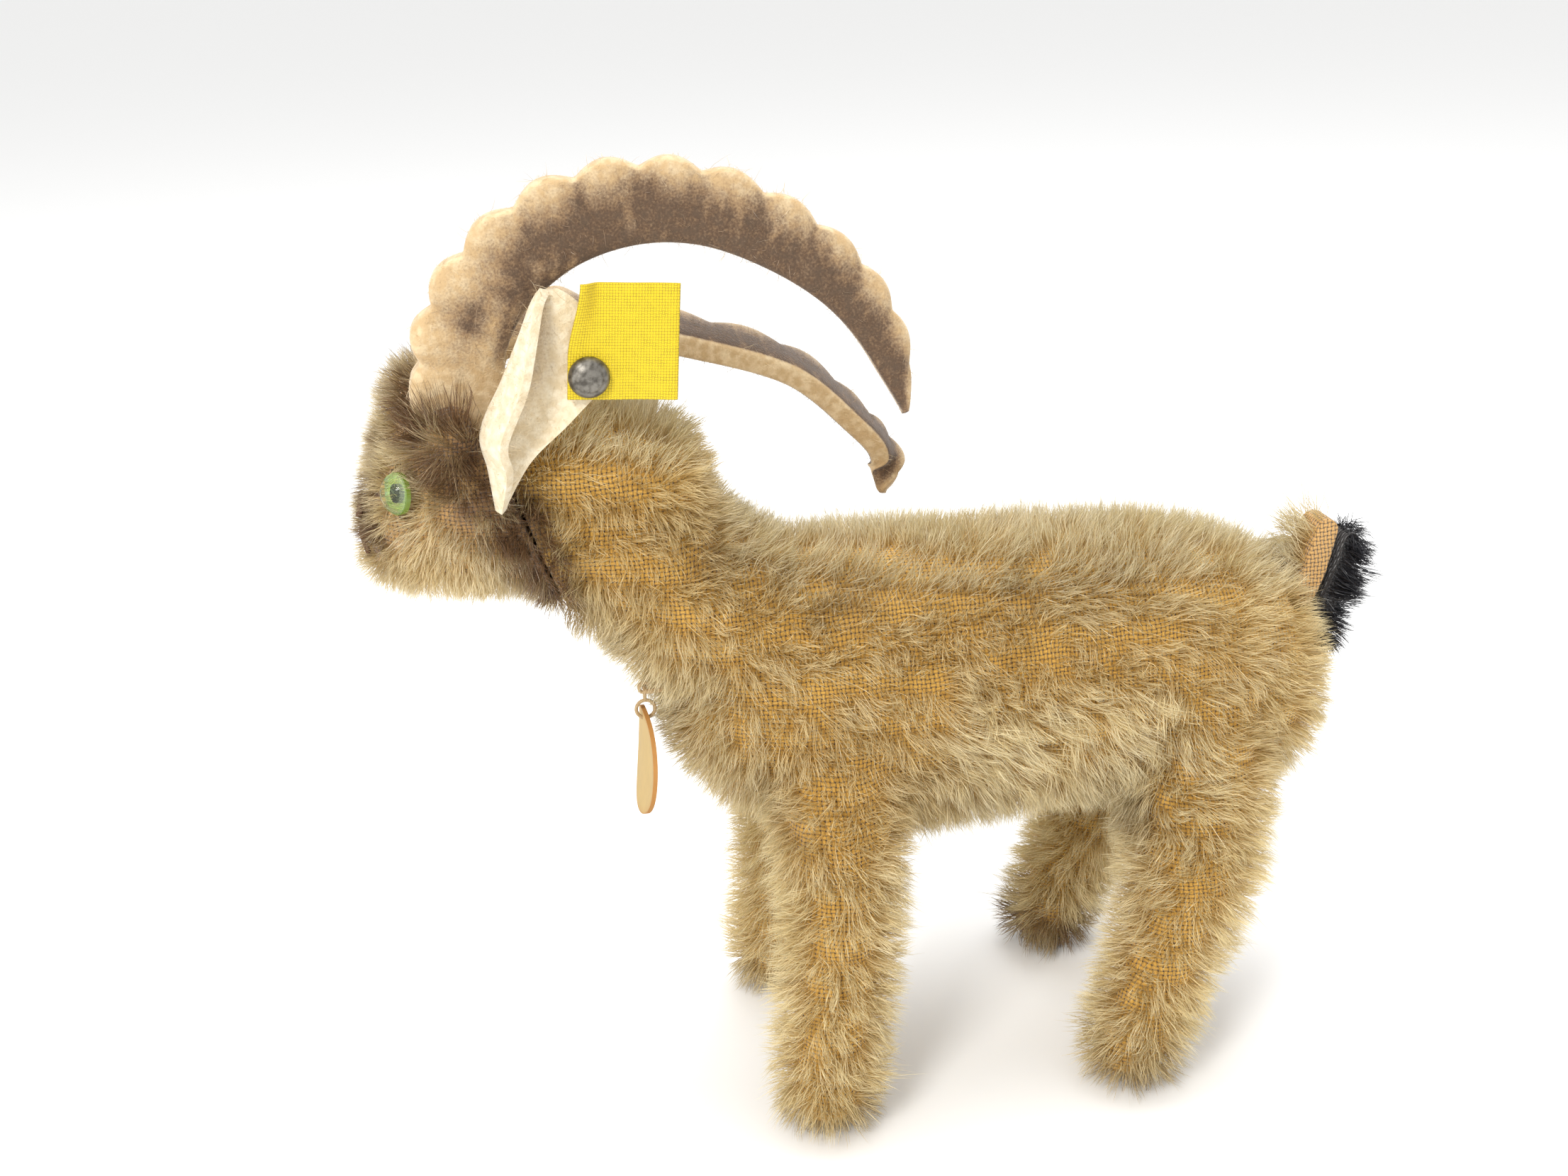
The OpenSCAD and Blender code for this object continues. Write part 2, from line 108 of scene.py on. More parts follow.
def ripple(points: np.ndarray, wave: float, seed: int, count: int = 10) -> np.ndarray:
    """A smooth random vector at each point.

    Args:
        points: Places in millimetres, one row each.
        wave: The typical distance between two crests, in millimetres.
        seed: What the waves are drawn from.
        count: How many waves are added up.

    Returns:
        Vectors whose parts lie mostly between -1 and 1.
    """
    rng = np.random.default_rng(seed)
    total = np.zeros((len(points), 3))
    for _ in range(count):
        way = unit(rng.normal(size=3)) * 2 * np.pi / (wave * rng.uniform(0.7, 1.6))
        total += np.sin(points @ way + rng.uniform(0, 2 * np.pi))[:, None] * rng.normal(size=3)
    return total / math.sqrt(count) * 0.9


# ---------------------------------------------------------------- shader maths


@dataclass(frozen=True)
class Signal:
    """A shader output on which Python expressions can be written."""

    paint: "Paint"
    socket: bpy.types.NodeSocket

    def math(self, operation: str, *others: "Signal | float") -> "Signal":
        """Adds one Math node.

        Args:
            operation: The node's operation.
            others: Its further inputs.

        Returns:
            The node's result.
        """
        return self.paint.node("ShaderNodeMath", {"operation": operation}, dict(enumerate((self, *others))))

    def __add__(self, other: "Signal | float") -> "Signal":
        """This plus the other."""
        return self.math("ADD", other)

    __radd__ = __add__

    def __mul__(self, other: "Signal | float") -> "Signal":
        """This times the other."""
        return self.math("MULTIPLY", other)

    __rmul__ = __mul__

    def __sub__(self, other: "Signal | float") -> "Signal":
        """This minus the other."""
        return self.math("SUBTRACT", other)

    def __rsub__(self, other: float) -> "Signal":
        """A number minus this."""
        return self.paint.node("ShaderNodeMath", {"operation": "SUBTRACT"}, {0: other, 1: self})

    def __truediv__(self, other: "Signal | float") -> "Signal":
        """This over the other."""
        return self.math("DIVIDE", other)

    def __pow__(self, power: float) -> "Signal":
        """This to a power."""
        return self.math("POWER", power)

    def step(self, low: float, high: float) -> "Signal":
        """A smooth step from 0 at low to 1 at high."""
        return self.paint.node(
            "ShaderNodeMapRange",
            {"interpolation_type": "SMOOTHSTEP", "clamp": True},
            {"Value": self, "From Min": low, "From Max": high},
        )


class Paint:
    """A material in the making: its node tree, and the one method that adds nodes to it."""

    def __init__(self, name: str) -> None:
        """Starts an empty node tree.

        Args:
            name: The material's name.
        """
        self.material = bpy.data.materials.new(name)
        self.material.use_nodes = True
        self.tree = self.material.node_tree
        self.tree.nodes.clear()

    def node(
        self,
        kind: str,
        settings: dict[str, object] | None = None,
        inputs: dict[str | int, object] | None = None,
        output: str | int = 0,
    ) -> Signal:
        """Adds a node.

        Args:
            kind: The node's type.
            settings: Its settings, set first; stops is a colour ramp's list of places and colours.
            inputs: Values or signals for its sockets, by name or number.
            output: The socket that the result is read from.

        Returns:
            The chosen output.
        """
        made = self.tree.nodes.new(kind)
        for name, value in (settings or {}).items():
            if name == "stops":
                stops = made.color_ramp.elements
                while len(stops) < len(value):
                    stops.new(0.5)
                for stop, (place, colour) in zip(stops, value):
                    stop.position, stop.color = place, colour
            else:
                setattr(made, name, value)
        for name, value in (inputs or {}).items():
            if isinstance(value, Signal):
                self.tree.links.new(value.socket, made.inputs[name])
            else:
                made.inputs[name].default_value = value
        return Signal(self, made.outputs[output] if made.outputs else None)

    def place(self) -> Signal:
        """The point on the object, in its own coordinates."""
        return self.node("ShaderNodeTexCoord", output="Object")

    def value(self, name: str) -> Signal:
        """A number that the mesh holds at each point."""
        return self.node("ShaderNodeAttribute", {"attribute_name": name}, output="Fac")

    def noise(
        self, size: float, detail: float = 2.0, where: Signal | None = None, stretch: Point = (1, 1, 1)
    ) -> Signal:
        """Soft noise.

        Args:
            size: The size of its blots, in millimetres.
            detail: How many finer layers it has.
            where: The coordinates it reads, or none for the object's own.
            stretch: How much denser it is along each axis.

        Returns:
            The noise, about 0.5 on average.
        """
        spot = where or self.place()
        if stretch != (1, 1, 1):
            spot = self.node("ShaderNodeMapping", inputs={"Vector": spot, "Scale": stretch})
        return self.node("ShaderNodeTexNoise", inputs={"Vector": spot, "Scale": 1 / (size * MM), "Detail": detail})

    def mix(self, share: Signal | float, first: Signal | Colour, second: Signal | Colour) -> Signal:
        """A colour between two colours."""
        return self.node(
            "ShaderNodeMix", {"data_type": "RGBA", "clamp_factor": True}, {0: share, 6: first, 7: second}, output=2
        )

    def shaded(self, colour: Signal | Colour, light: Signal) -> Signal:
        """A colour made lighter or darker by a factor."""
        grey = self.node("ShaderNodeCombineColor", inputs={"Red": light, "Green": light, "Blue": light})
        return self.node(
            "ShaderNodeMix", {"data_type": "RGBA", "blend_type": "MULTIPLY"}, {0: 1.0, 6: colour, 7: grey}, output=2
        )

    def bump(self, height: Signal, depth: float, strength: float = 1.0) -> Signal:
        """A bumped normal.

        Args:
            height: The height from 0 to 1.
            depth: How deep a height of 1 is, in millimetres.
            strength: How much of it shows.

        Returns:
            The normal.
        """
        return self.node("ShaderNodeBump", inputs={"Height": height, "Distance": depth * MM, "Strength": strength})

    def finish(
        self, through: "Signal | float" = 0.0, glow: Colour = (0, 0, 0, 1), **sockets: object
    ) -> bpy.types.Material:
        """Closes the tree with a shader.

        Args:
            through: The share of light that passes through a thin fibre, 0 for none.
            glow: The colour of that light.
            sockets: The shader's inputs, with underscores for spaces.

        Returns:
            The finished material.
        """
        inputs = {name.replace("_", " "): value for name, value in sockets.items()}
        shader = self.node("ShaderNodeBsdfPrincipled", inputs=inputs)
        if isinstance(through, Signal) or through > 0:
            veil = self.node("ShaderNodeBsdfTranslucent", inputs={"Color": glow})
            shader = self.node("ShaderNodeMixShader", inputs={0: through, 1: shader, 2: veil})
        self.node("ShaderNodeOutputMaterial", inputs={"Surface": shader})
        return self.material


# ---------------------------------------------------------------- finishes


@dataclass(frozen=True)
class MohairCloth:
    """Loosely woven backing cloth with pinholes between its threads, with painted shade: the threads are darker in
    their hollows and the pinholes are painted dark.
    """

    name: str
    thread: Colour
    hole: Colour
    brown: Colour
    pitch: float = 0.62

    def weave(self, paint: Paint, first: Signal, second: Signal) -> tuple[Signal, Signal]:
        """The weave on one plane.

        Args:
            paint: The material in the making; not used.
            first, second: The two coordinates across the plane.

        Returns:
            The thread's height, which also lightens the threads' crests as painted shade, and the pinholes, which
            are painted dark as shade.
        """
        turn = math.pi / (self.pitch * MM)
        warp = (first * turn).math("SINE")
        weft = (second * turn).math("SINE")
        over = (warp * weft).step(-0.15, 0.15)
        tall, flat = warp.math("ABSOLUTE"), weft.math("ABSOLUTE")
        height = tall * over + flat * (1.0 - over)
        return height, ((1.0 - tall) * (1.0 - flat)).step(0.3, 0.62)

    def material(self) -> bpy.types.Material:
        """Builds the material."""
        paint = Paint(self.name)
        spot = paint.place()
        drift = paint.node(
            "ShaderNodeTexNoise", inputs={"Vector": spot, "Scale": 1 / (6 * MM), "Detail": 1.0}, output="Color"
        )
        moved = paint.node(
            "ShaderNodeVectorMath", {"operation": "MULTIPLY_ADD"}, {0: drift, 1: (0.0012,) * 3, 2: spot}
        )
        split = paint.node("ShaderNodeSeparateXYZ", inputs={"Vector": moved})
        x, y, z = (Signal(paint, split.socket.node.outputs[i]) for i in range(3))
        normal = paint.node("ShaderNodeTexCoord", output="Normal")
        parts = paint.node("ShaderNodeSeparateXYZ", inputs={"Vector": normal})
        nx, ny, nz = (Signal(paint, parts.socket.node.outputs[i]).math("ABSOLUTE") ** 5.0 for i in range(3))
        total = nx + ny + nz
        side, front, top = self.weave(paint, x, z), self.weave(paint, y, z), self.weave(paint, x, y)
        height = (side[0] * ny + front[0] * nx + top[0] * nz) / total
        holes = (side[1] * ny + front[1] * nx + top[1] * nz) / total
        blotch = paint.noise(5, 3)
        # Painted shade: each thread is lighter on its crest and darker in its hollows; the blotches are random tone.
        shade = 0.62 + height * 0.42 + (blotch - 0.5) * 0.35
        cloth = paint.shaded(self.thread, shade)
        # Painted shade: the pinholes are painted dark, as the shade inside them.
        cloth = paint.mix(holes * 0.92, cloth, self.hole)
        cloth = paint.mix(paint.value("spray") * 0.85, cloth, self.brown)
        return paint.finish(
            Base_Color=cloth,
            Roughness=0.88,
            Normal=paint.bump(height - holes, 0.22, 1.0),
            Sheen_Weight=0.25,
            Sheen_Roughness=0.5,
        )


@dataclass(frozen=True)
class MohairPile:
    """The standing fibres of the mohair: darker at their roots, pale and clear at their tips."""

    name: str
    root: Colour
    tip: Colour
    ash: Colour
    brown: Colour
    through: float = 0.3
    glow: Colour = tone(222, 200, 134)
    roughness: float = 0.42

    def material(self) -> bpy.types.Material:
        """Builds the material."""
        paint = Paint(self.name)
        along, shade = paint.value("along"), paint.value("shade")
        colour = paint.mix((along ** 0.8) * paint.value("cream"), self.root, self.tip)
        colour = paint.mix(paint.value("ash") * along, colour, self.ash)
        colour = paint.mix(paint.value("spray"), colour, self.brown)
        colour = paint.shaded(colour, 0.66 + shade * 0.6)
        return paint.finish(
            through=(1.0 - paint.value("spray") * 0.85) * self.through,
            glow=self.glow,
            Base_Color=colour,
            Roughness=self.roughness,
            Specular_IOR_Level=0.6,
        )


@dataclass(frozen=True)
class Felt:
    """Pressed wool felt, mottled, with brown airbrushed over it; on the ears the brown inside the cup is partly
    painted shade.
    """

    name: str
    wool: Colour
    pale: Colour
    brown: Colour
    dark: Colour

    def material(self) -> bpy.types.Material:
        """Builds the material."""
        paint = Paint(self.name)
        spray = paint.value("spray")
        lint = paint.noise(0.3, 5)
        cloud = paint.noise(1.3, 4)
        wool = paint.mix(cloud.step(0.35, 0.7), self.wool, self.pale)
        wool = paint.shaded(wool, 0.86 + lint * 0.26)
        grain = (lint * 0.65 + cloud * 0.35 - 0.5) * 1.7
        cover = (spray + grain * spray.step(0.02, 0.25) * 0.75).step(0.0, 1.05)
        ink = paint.mix((spray + grain * 0.6).step(0.55, 1.25), self.brown, self.dark)
        colour = paint.mix(cover * 0.94, wool, ink)
        return paint.finish(
            Base_Color=colour,
            Roughness=0.95,
            Normal=paint.bump(lint * 0.6 + cloud * 0.4, 0.35, 0.7),
            Sheen_Weight=0.35,
            Sheen_Roughness=0.4,
        )


@dataclass(frozen=True)
class FlagCloth:
    """Plain woven label cloth, dyed yellow and left blank."""

    name: str = "flag_cloth"
    dye: Colour = tone(222, 194, 12)
    shadow: Colour = tone(160, 132, 8)
    pitch: float = 0.36

    def material(self) -> bpy.types.Material:
        """Builds the material."""
        paint = Paint(self.name)
        spot = paint.node("ShaderNodeUVMap", {"uv_map": "cut"})
        split = paint.node("ShaderNodeSeparateXYZ", inputs={"Vector": spot})
        across, down = (Signal(paint, split.socket.node.outputs[i]) for i in range(2))
        turn = math.pi / self.pitch
        warp, weft = (across * turn).math("SINE"), (down * turn).math("SINE")
        over = (warp * weft).step(-0.2, 0.2)
        tall, flat = warp.math("ABSOLUTE"), weft.math("ABSOLUTE")
        height = tall * over + flat * (1.0 - over)
        slub = paint.node("ShaderNodeTexNoise", inputs={"Vector": spot, "Scale": 0.9, "Detail": 3.0})
        colour = paint.mix((height * 0.8 + slub * 0.5).step(0.25, 0.85), self.shadow, self.dye)
        return paint.finish(
            Base_Color=colour,
            Roughness=0.62,
            Normal=paint.bump(height, 0.09, 0.7),
            Sheen_Weight=0.1,
        )


@dataclass(frozen=True)
class Metal:
    """Dull metal with fine scratches and a stained film."""

    name: str
    bright: Colour
    stain: Colour
    roughness: float = 0.42
    dent: float = 0.1

    def material(self) -> bpy.types.Material:
        """Builds the material."""
        paint = Paint(self.name)
        film = paint.noise(0.9, 4)
        fine = paint.noise(0.16, 2, stretch=(1, 1, 4))
        return paint.finish(
            Base_Color=paint.mix(film.step(0.35, 0.7), self.bright, self.stain),
            Metallic=0.9,
            Roughness=self.roughness + film * 0.25 + fine * 0.1 - 0.1,
            Normal=paint.bump(film * 0.7 + fine * 0.3, self.dent, 0.6),
        )


@dataclass(frozen=True)
class Board:
    """Pressed card or fibreboard with visible fibres and a darker cut edge."""

    name: str
    face: Colour
    edge: Colour
    fleck: float = 0.35

    def material(self) -> bpy.types.Material:
        """Builds the material."""
        paint = Paint(self.name)
        fibre = paint.noise(0.5, 4, stretch=(1, 1, 0.3))
        cloud = paint.noise(3.5, 2)
        rim = paint.value("rim")
        colour = paint.mix(rim, self.face, self.edge)
        colour = paint.shaded(colour, 1.0 - self.fleck / 2 + fibre * self.fleck * 0.6 + cloud * self.fleck * 0.4)
        return paint.finish(Base_Color=colour, Roughness=0.7 + fibre * 0.15, Normal=paint.bump(fibre, 0.05, 0.5))


@dataclass(frozen=True)
class Strand:
    """Spun thread or wood wool: fine fibres that lie mostly one way."""

    name: str
    light: Colour
    dark: Colour
    size: float = 0.3
    stretch: Point = (1, 1, 5)

    def material(self) -> bpy.types.Material:
        """Builds the material."""
        paint = Paint(self.name)
        twist = paint.noise(self.size, 3, stretch=self.stretch)
        return paint.finish(
            Base_Color=paint.mix(twist.step(0.3, 0.7), self.dark, self.light),
            Roughness=0.8,
            Normal=paint.bump(twist, 0.12, 0.8),
        )


@dataclass(frozen=True)
class EyeGlass:
    """The clear dome of a glass eye."""

    name: str = "eye_glass"
    tint: Colour = tone(232, 246, 214)

    def material(self) -> bpy.types.Material:
        """Builds the material."""
        return Paint(self.name).finish(
            Base_Color=self.tint, Roughness=0.02, IOR=1.1, Transmission_Weight=1.0, Coat_Weight=0.25
        )


@dataclass(frozen=True)
class EyeEnamel:
    """The painted back of a glass eye: pale green, darker and browner to its rim."""

    name: str
    centre: Point
    radius: float
    inner: Colour = tone(184, 206, 88)
    outer: Colour = tone(110, 136, 46)

    def material(self) -> bpy.types.Material:
        """Builds the material."""
        paint = Paint(self.name)
        reach = paint.node(
            "ShaderNodeVectorMath", {"operation": "DISTANCE"}, {0: paint.place(), 1: self.centre}, output="Value"
        )
        streak = paint.noise(0.5, 3)
        share = reach / self.radius + (streak - 0.5) * 0.35
        colour = paint.mix(share.step(0.5, 1.0), self.inner, self.outer)
        return paint.finish(Base_Color=colour, Roughness=0.25, Coat_Weight=0.6)


@dataclass(frozen=True)
class EyeBlack:
    """The pupil's glossy black enamel, with a faint cloud in it."""

    name: str = "pupil_black"

    def material(self) -> bpy.types.Material:
        """Builds the material."""
        paint = Paint(self.name)
        cloud = paint.noise(0.5, 2)
        return paint.finish(
            Base_Color=paint.mix(cloud, tone(8, 8, 8), tone(24, 22, 20)), Roughness=0.12, Coat_Weight=0.5
        )


GOLD = tone(194, 158, 84)
CREAM = tone(244, 234, 198)
ASH = tone(210, 206, 186)
BROWN = tone(102, 72, 46)
DARK = tone(50, 36, 28)


class Finish(Enum):
    """The finishes of the toy, each with the record's slot that it belongs to."""

    # The second colour of each cloth is the painted shade seen in its pinholes.
    CLOTH = ("tan_mohair", MohairCloth("mohair_backing", tone(208, 162, 74), tone(64, 42, 16), BROWN))
    PALE_CLOTH = ("pale_mohair", MohairCloth("pale_backing", tone(204, 160, 98), tone(80, 54, 28), BROWN))
    BLACK_CLOTH = ("black_mohair", MohairCloth("black_backing", tone(40, 36, 36), tone(10, 10, 12), DARK))
    PILE = ("tan_mohair", MohairPile("mohair_pile", GOLD, CREAM, ASH, BROWN))
    FACE_PILE = ("pale_mohair", MohairPile("face_pile", tone(200, 172, 116), tone(246, 236, 206), ASH, BROWN))
    BLACK_PILE = (
        "black_mohair",
        MohairPile("black_pile", tone(14, 14, 18), tone(34, 34, 42), ASH, DARK, 0.08, tone(60, 60, 70)),
    )
    HORN = (
        "horn_felt",
        Felt("horn_felt", tone(198, 168, 124), tone(222, 198, 158), tone(98, 70, 52), tone(58, 40, 30)),
    )
    EAR = (
        "ear_felt",
        Felt("ear_felt", tone(220, 202, 168), tone(238, 226, 200), tone(150, 126, 100), tone(104, 82, 64)),
    )
    FUZZ = (
        "horn_felt",
        MohairPile("felt_fuzz", tone(206, 182, 146), tone(236, 222, 196), ASH, tone(104, 76, 58), 0.3),
    )
    FLAG = ("flag_cloth", FlagCloth())
    BUTTON = ("button_metal", Metal("button_metal", tone(134, 130, 122), tone(86, 82, 76), 0.4, 0.12))
    STEEL = ("steel_wire", Metal("steel_wire", tone(170, 170, 168), tone(120, 112, 100), 0.35, 0.04))
    FIBREBOARD = ("fibreboard", Board("fibreboard", tone(150, 104, 64), tone(120, 80, 48)))
    CARD = ("card_board", Board("card_board", tone(192, 164, 108), tone(176, 124, 62)))
    THREAD = ("thread", Strand("thread", tone(122, 84, 56), tone(62, 42, 30), 0.2))
    PALE_THREAD = ("thread", Strand("pale_thread", tone(206, 180, 138), tone(150, 120, 82), 0.2))
    GLASS = ("eye_glass", EyeGlass())
    PUPIL = ("pupil_black", EyeBlack())

    def __init__(self, slot: str, recipe: object) -> None:
        """Keeps the slot's name and the recipe.

        Args:
            slot: The record's material slot.
            recipe: What builds the material.
        """
        self.slot = slot
        self.recipe = recipe


class Wardrobe:
    """Makes each material once and puts it on pieces."""

    def __init__(self) -> None:
        """Starts with no material made."""
        self.made: dict[str, bpy.types.Material] = {}

    def material(self, recipe: object) -> bpy.types.Material:
        """The recipe's material, made when it is first asked for."""
        if recipe.name not in self.made:
            self.made[recipe.name] = recipe.material()
        return self.made[recipe.name]

    def dress(self, piece: bpy.types.Object, finish: Finish, recipe: object | None = None) -> None:
        """Puts one finish all over a piece.

        Args:
            piece: The piece.
            finish: Its finish.
            recipe: What is used in place of the finish's own recipe, if anything.
        """
        piece.data.materials.clear()
        piece.data.materials.append(self.material(recipe or finish.recipe))


WARDROBE = Wardrobe()


# ---------------------------------------------------------------- mesh helpers


def settle(piece: bpy.types.Object, body: str, finish: Finish, stands_for: Sequence[str] = ()) -> bpy.types.Object:
    """Dresses a finished piece, puts it on its body and reports it.

    Args:
        piece: The piece, in place.
        body: The CAD body it rides on.
        finish: Its finish.
        stands_for: The CAD nodes it replaces.

    Returns:
        The piece.
    """
    WARDROBE.dress(piece, finish)
    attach(piece, body)
    if stands_for:
        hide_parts(*stands_for)
    LOG.info("%s: %d faces on %s", piece.name, len(piece.data.polygons), body)
    return piece


def mesh_piece(name: str, points: np.ndarray, faces: np.ndarray | list[list[int]]) -> bpy.types.Object:
    """Makes a piece from points in millimetres.

    Args:
        name: The piece's name.
        points: One row for each point.
        faces: The faces' point numbers.

    Returns:
        The new piece, smooth shaded.
    """
    mesh = bpy.data.meshes.new(name)
    mesh.from_pydata((np.asarray(points) * MM).tolist(), [], np.asarray(faces).tolist())
    mesh.update()
    mesh.shade_smooth()
    piece = bpy.data.objects.new(name, mesh)
    bpy.context.scene.collection.objects.link(piece)
    return piece


def store(piece: bpy.types.Object, name: str, values: np.ndarray) -> None:
    """Keeps one number for each point of a piece, under a name."""
    layer = piece.data.attributes.new(name, "FLOAT", "POINT")
    layer.data.foreach_set("value", np.ascontiguousarray(values, dtype=np.float32).ravel())


def points_of(piece: bpy.types.Object) -> np.ndarray:
    """A piece's points in millimetres."""
    flat = np.zeros(len(piece.data.vertices) * 3, np.float32)
    piece.data.vertices.foreach_get("co", flat)
    return flat.reshape(-1, 3).astype(float) / MM


def normals_of(piece: bpy.types.Object) -> np.ndarray:
    """The directions in which a piece's points face."""
    flat = np.zeros(len(piece.data.vertices) * 3, np.float32)
    piece.data.vertex_normals.foreach_get("vector", flat)
    return flat.reshape(-1, 3).astype(float)


def place_points(piece: bpy.types.Object, points: np.ndarray) -> None:
    """Moves a piece's points to places given in millimetres."""
    piece.data.vertices.foreach_set("co", (points * MM).astype(np.float32).ravel())
    piece.data.update()


def only(piece: bpy.types.Object) -> None:
    """Selects one object and nothing else."""
    for other in bpy.context.selected_objects:
        other.select_set(False)
    piece.select_set(True)
    bpy.context.view_layer.objects.active = piece


def apply_modifier(piece: bpy.types.Object, kind: str, **settings: object) -> None:
    """Adds a modifier and applies it.

    Args:
        piece: The piece it shapes.
        kind: The modifier's type.
        settings: The modifier's settings.
    """
    only(piece)
    made = piece.modifiers.new(kind.lower(), kind)
    for name, value in settings.items():
        setattr(made, name, value)
    bpy.ops.object.modifier_apply(modifier=made.name)


def cloth_form(
    name: str,
    nodes: Sequence[str],
    voxel: float,
    depth: Callable[[np.ndarray, np.ndarray], np.ndarray],
    rounds: int,
) -> bpy.types.Object:
    """Draws one closed cloth surface round several CAD nodes.

    Args:
        name: The new piece's name.
        nodes: The CAD nodes that it wraps.
        voxel: The size of its mesh, in millimetres.
        depth: How far below the nodes' outer face it lies in millimetres, by point and normal.
        rounds: How often it is smoothed.

    Returns:
        The piece, undressed.
    """
    bm = bmesh.new()
    for node in nodes:
        bm.from_mesh(frame["nodes"][node].data)
    bmesh.ops.remove_doubles(bm, verts=bm.verts, dist=1e-6)
    mesh = bpy.data.meshes.new(name)
    bm.to_mesh(mesh)
    bm.free()
    piece = bpy.data.objects.new(name, mesh)
    bpy.context.scene.collection.objects.link(piece)
    apply_modifier(piece, "REMESH", mode="VOXEL", voxel_size=voxel * MM)
    keep_outside(piece)
    apply_modifier(piece, "SMOOTH", factor=0.5, iterations=rounds)
    points, normals = points_of(piece), normals_of(piece)
    place_points(piece, points - depth(points, normals)[:, None] * normals)
    apply_modifier(piece, "SMOOTH", factor=0.5, iterations=2)
    piece.data.shade_smooth()
    return piece


def keep_outside(piece: bpy.types.Object) -> None:
    """Keeps the largest of a piece's loose shells and removes the others."""
    bm = bmesh.new()
    bm.from_mesh(piece.data)
    left, shells = set(bm.verts), []
    while left:
        todo, shell = [left.pop()], []
        while todo:
            vert = todo.pop()
            shell.append(vert)
            for edge in vert.link_edges:
                other = edge.other_vert(vert)
                if other in left:
                    left.discard(other)
                    todo.append(other)
        shells.append(shell)
    shells.sort(key=len)
    bmesh.ops.delete(bm, geom=[v for shell in shells[:-1] for v in shell], context="VERTS")
    bm.to_mesh(piece.data)
    bm.free()


def loft(name: str, rings: np.ndarray) -> bpy.types.Object:
    """Skins a closed body over rings of points, its ends closed.

    Args:
        name: The piece's name.
        rings: The rings' points in millimetres: ring, point, place.

    Returns:
        The piece, its faces outwards.
    """
    count, size = rings.shape[:2]
    faces = [
        [i * size + j, i * size + (j + 1) % size, (i + 1) * size + (j + 1) % size, (i + 1) * size + j]
        for i in range(count - 1)
        for j in range(size)
    ]
    faces.append(list(range(size))[::-1])
    faces.append([(count - 1) * size + j for j in range(size)])
    bm = bmesh.new()
    verts = [bm.verts.new(p) for p in (rings.reshape(-1, 3) * MM).tolist()]
    for face in faces:
        bm.faces.new([verts[i] for i in face])
    if bm.calc_volume(signed=True) < 0:
        bmesh.ops.reverse_faces(bm, faces=bm.faces)
    mesh = bpy.data.meshes.new(name)
    bm.to_mesh(mesh)
    bm.free()
    mesh.shade_smooth()
    piece = bpy.data.objects.new(name, mesh)
    bpy.context.scene.collection.objects.link(piece)
    return piece


# ---------------------------------------------------------------- airbrush, painted shade and pile


@dataclass(frozen=True)
class Spot:
    """A cloud of brown, airbrushed on most spots and painted shade along the neck's crease: a capsule between two
    points that fades out over its radius.
    """

    start: Point
    end: Point
    radius: float
    strength: float

    def amount(self, points: np.ndarray) -> np.ndarray:
        """How much colour each point gets.

        Args:
            points: Places in millimetres.

        Returns:
            Amounts from 0 to the spot's strength.
        """
        start, way = np.array(self.start), np.array(self.end) - np.array(self.start)
        length = max(float(way @ way), 1e-9)
        share = np.clip((points - start) @ way / length, 0, 1)
        away = np.linalg.norm(points - start - share[:, None] * way, axis=1)
        return self.strength * np.exp(-((away / self.radius) ** 2))


def sprayed_and_shaded(points: np.ndarray, spots: Sequence[Spot], seed: int) -> np.ndarray:
    """The airbrushed brown and painted shade at each point, uneven as by hand.

    Args:
        points: Places in millimetres.
        spots: The clouds of colour.
        seed: What the unevenness is drawn from.

    Returns:
        Amounts from 0 to 1.
    """
    total = np.zeros(len(points))
    for spot in spots:
        total = 1 - (1 - total) * (1 - np.minimum(spot.amount(points), 1))
    uneven = ripple(points, 6, seed)[:, 0] * 0.3 + ripple(points, 2.2, seed + 1)[:, 0] * 0.22
    return np.clip(total * (1 + uneven), 0, 1)


def both_sides(*spots: Spot) -> list[Spot]:
    """The spots and their mirror images on the toy's other side."""
    flip = lambda p: (p[0], -p[1], p[2])
    return [s for spot in spots for s in (spot, Spot(flip(spot.start), flip(spot.end), spot.radius, spot.strength))]


@dataclass(frozen=True)
class Groom:
    """How the pile of one part of the skin stands."""

    length: float
    density: float
    comb: Point
    lean: float
    clump: float
    cream: float
    ash: float = 0.0

    def row(self) -> np.ndarray:
        """All values as one row."""
        return np.array([self.length, self.density, *self.comb, self.lean, self.clump, self.cream, self.ash])


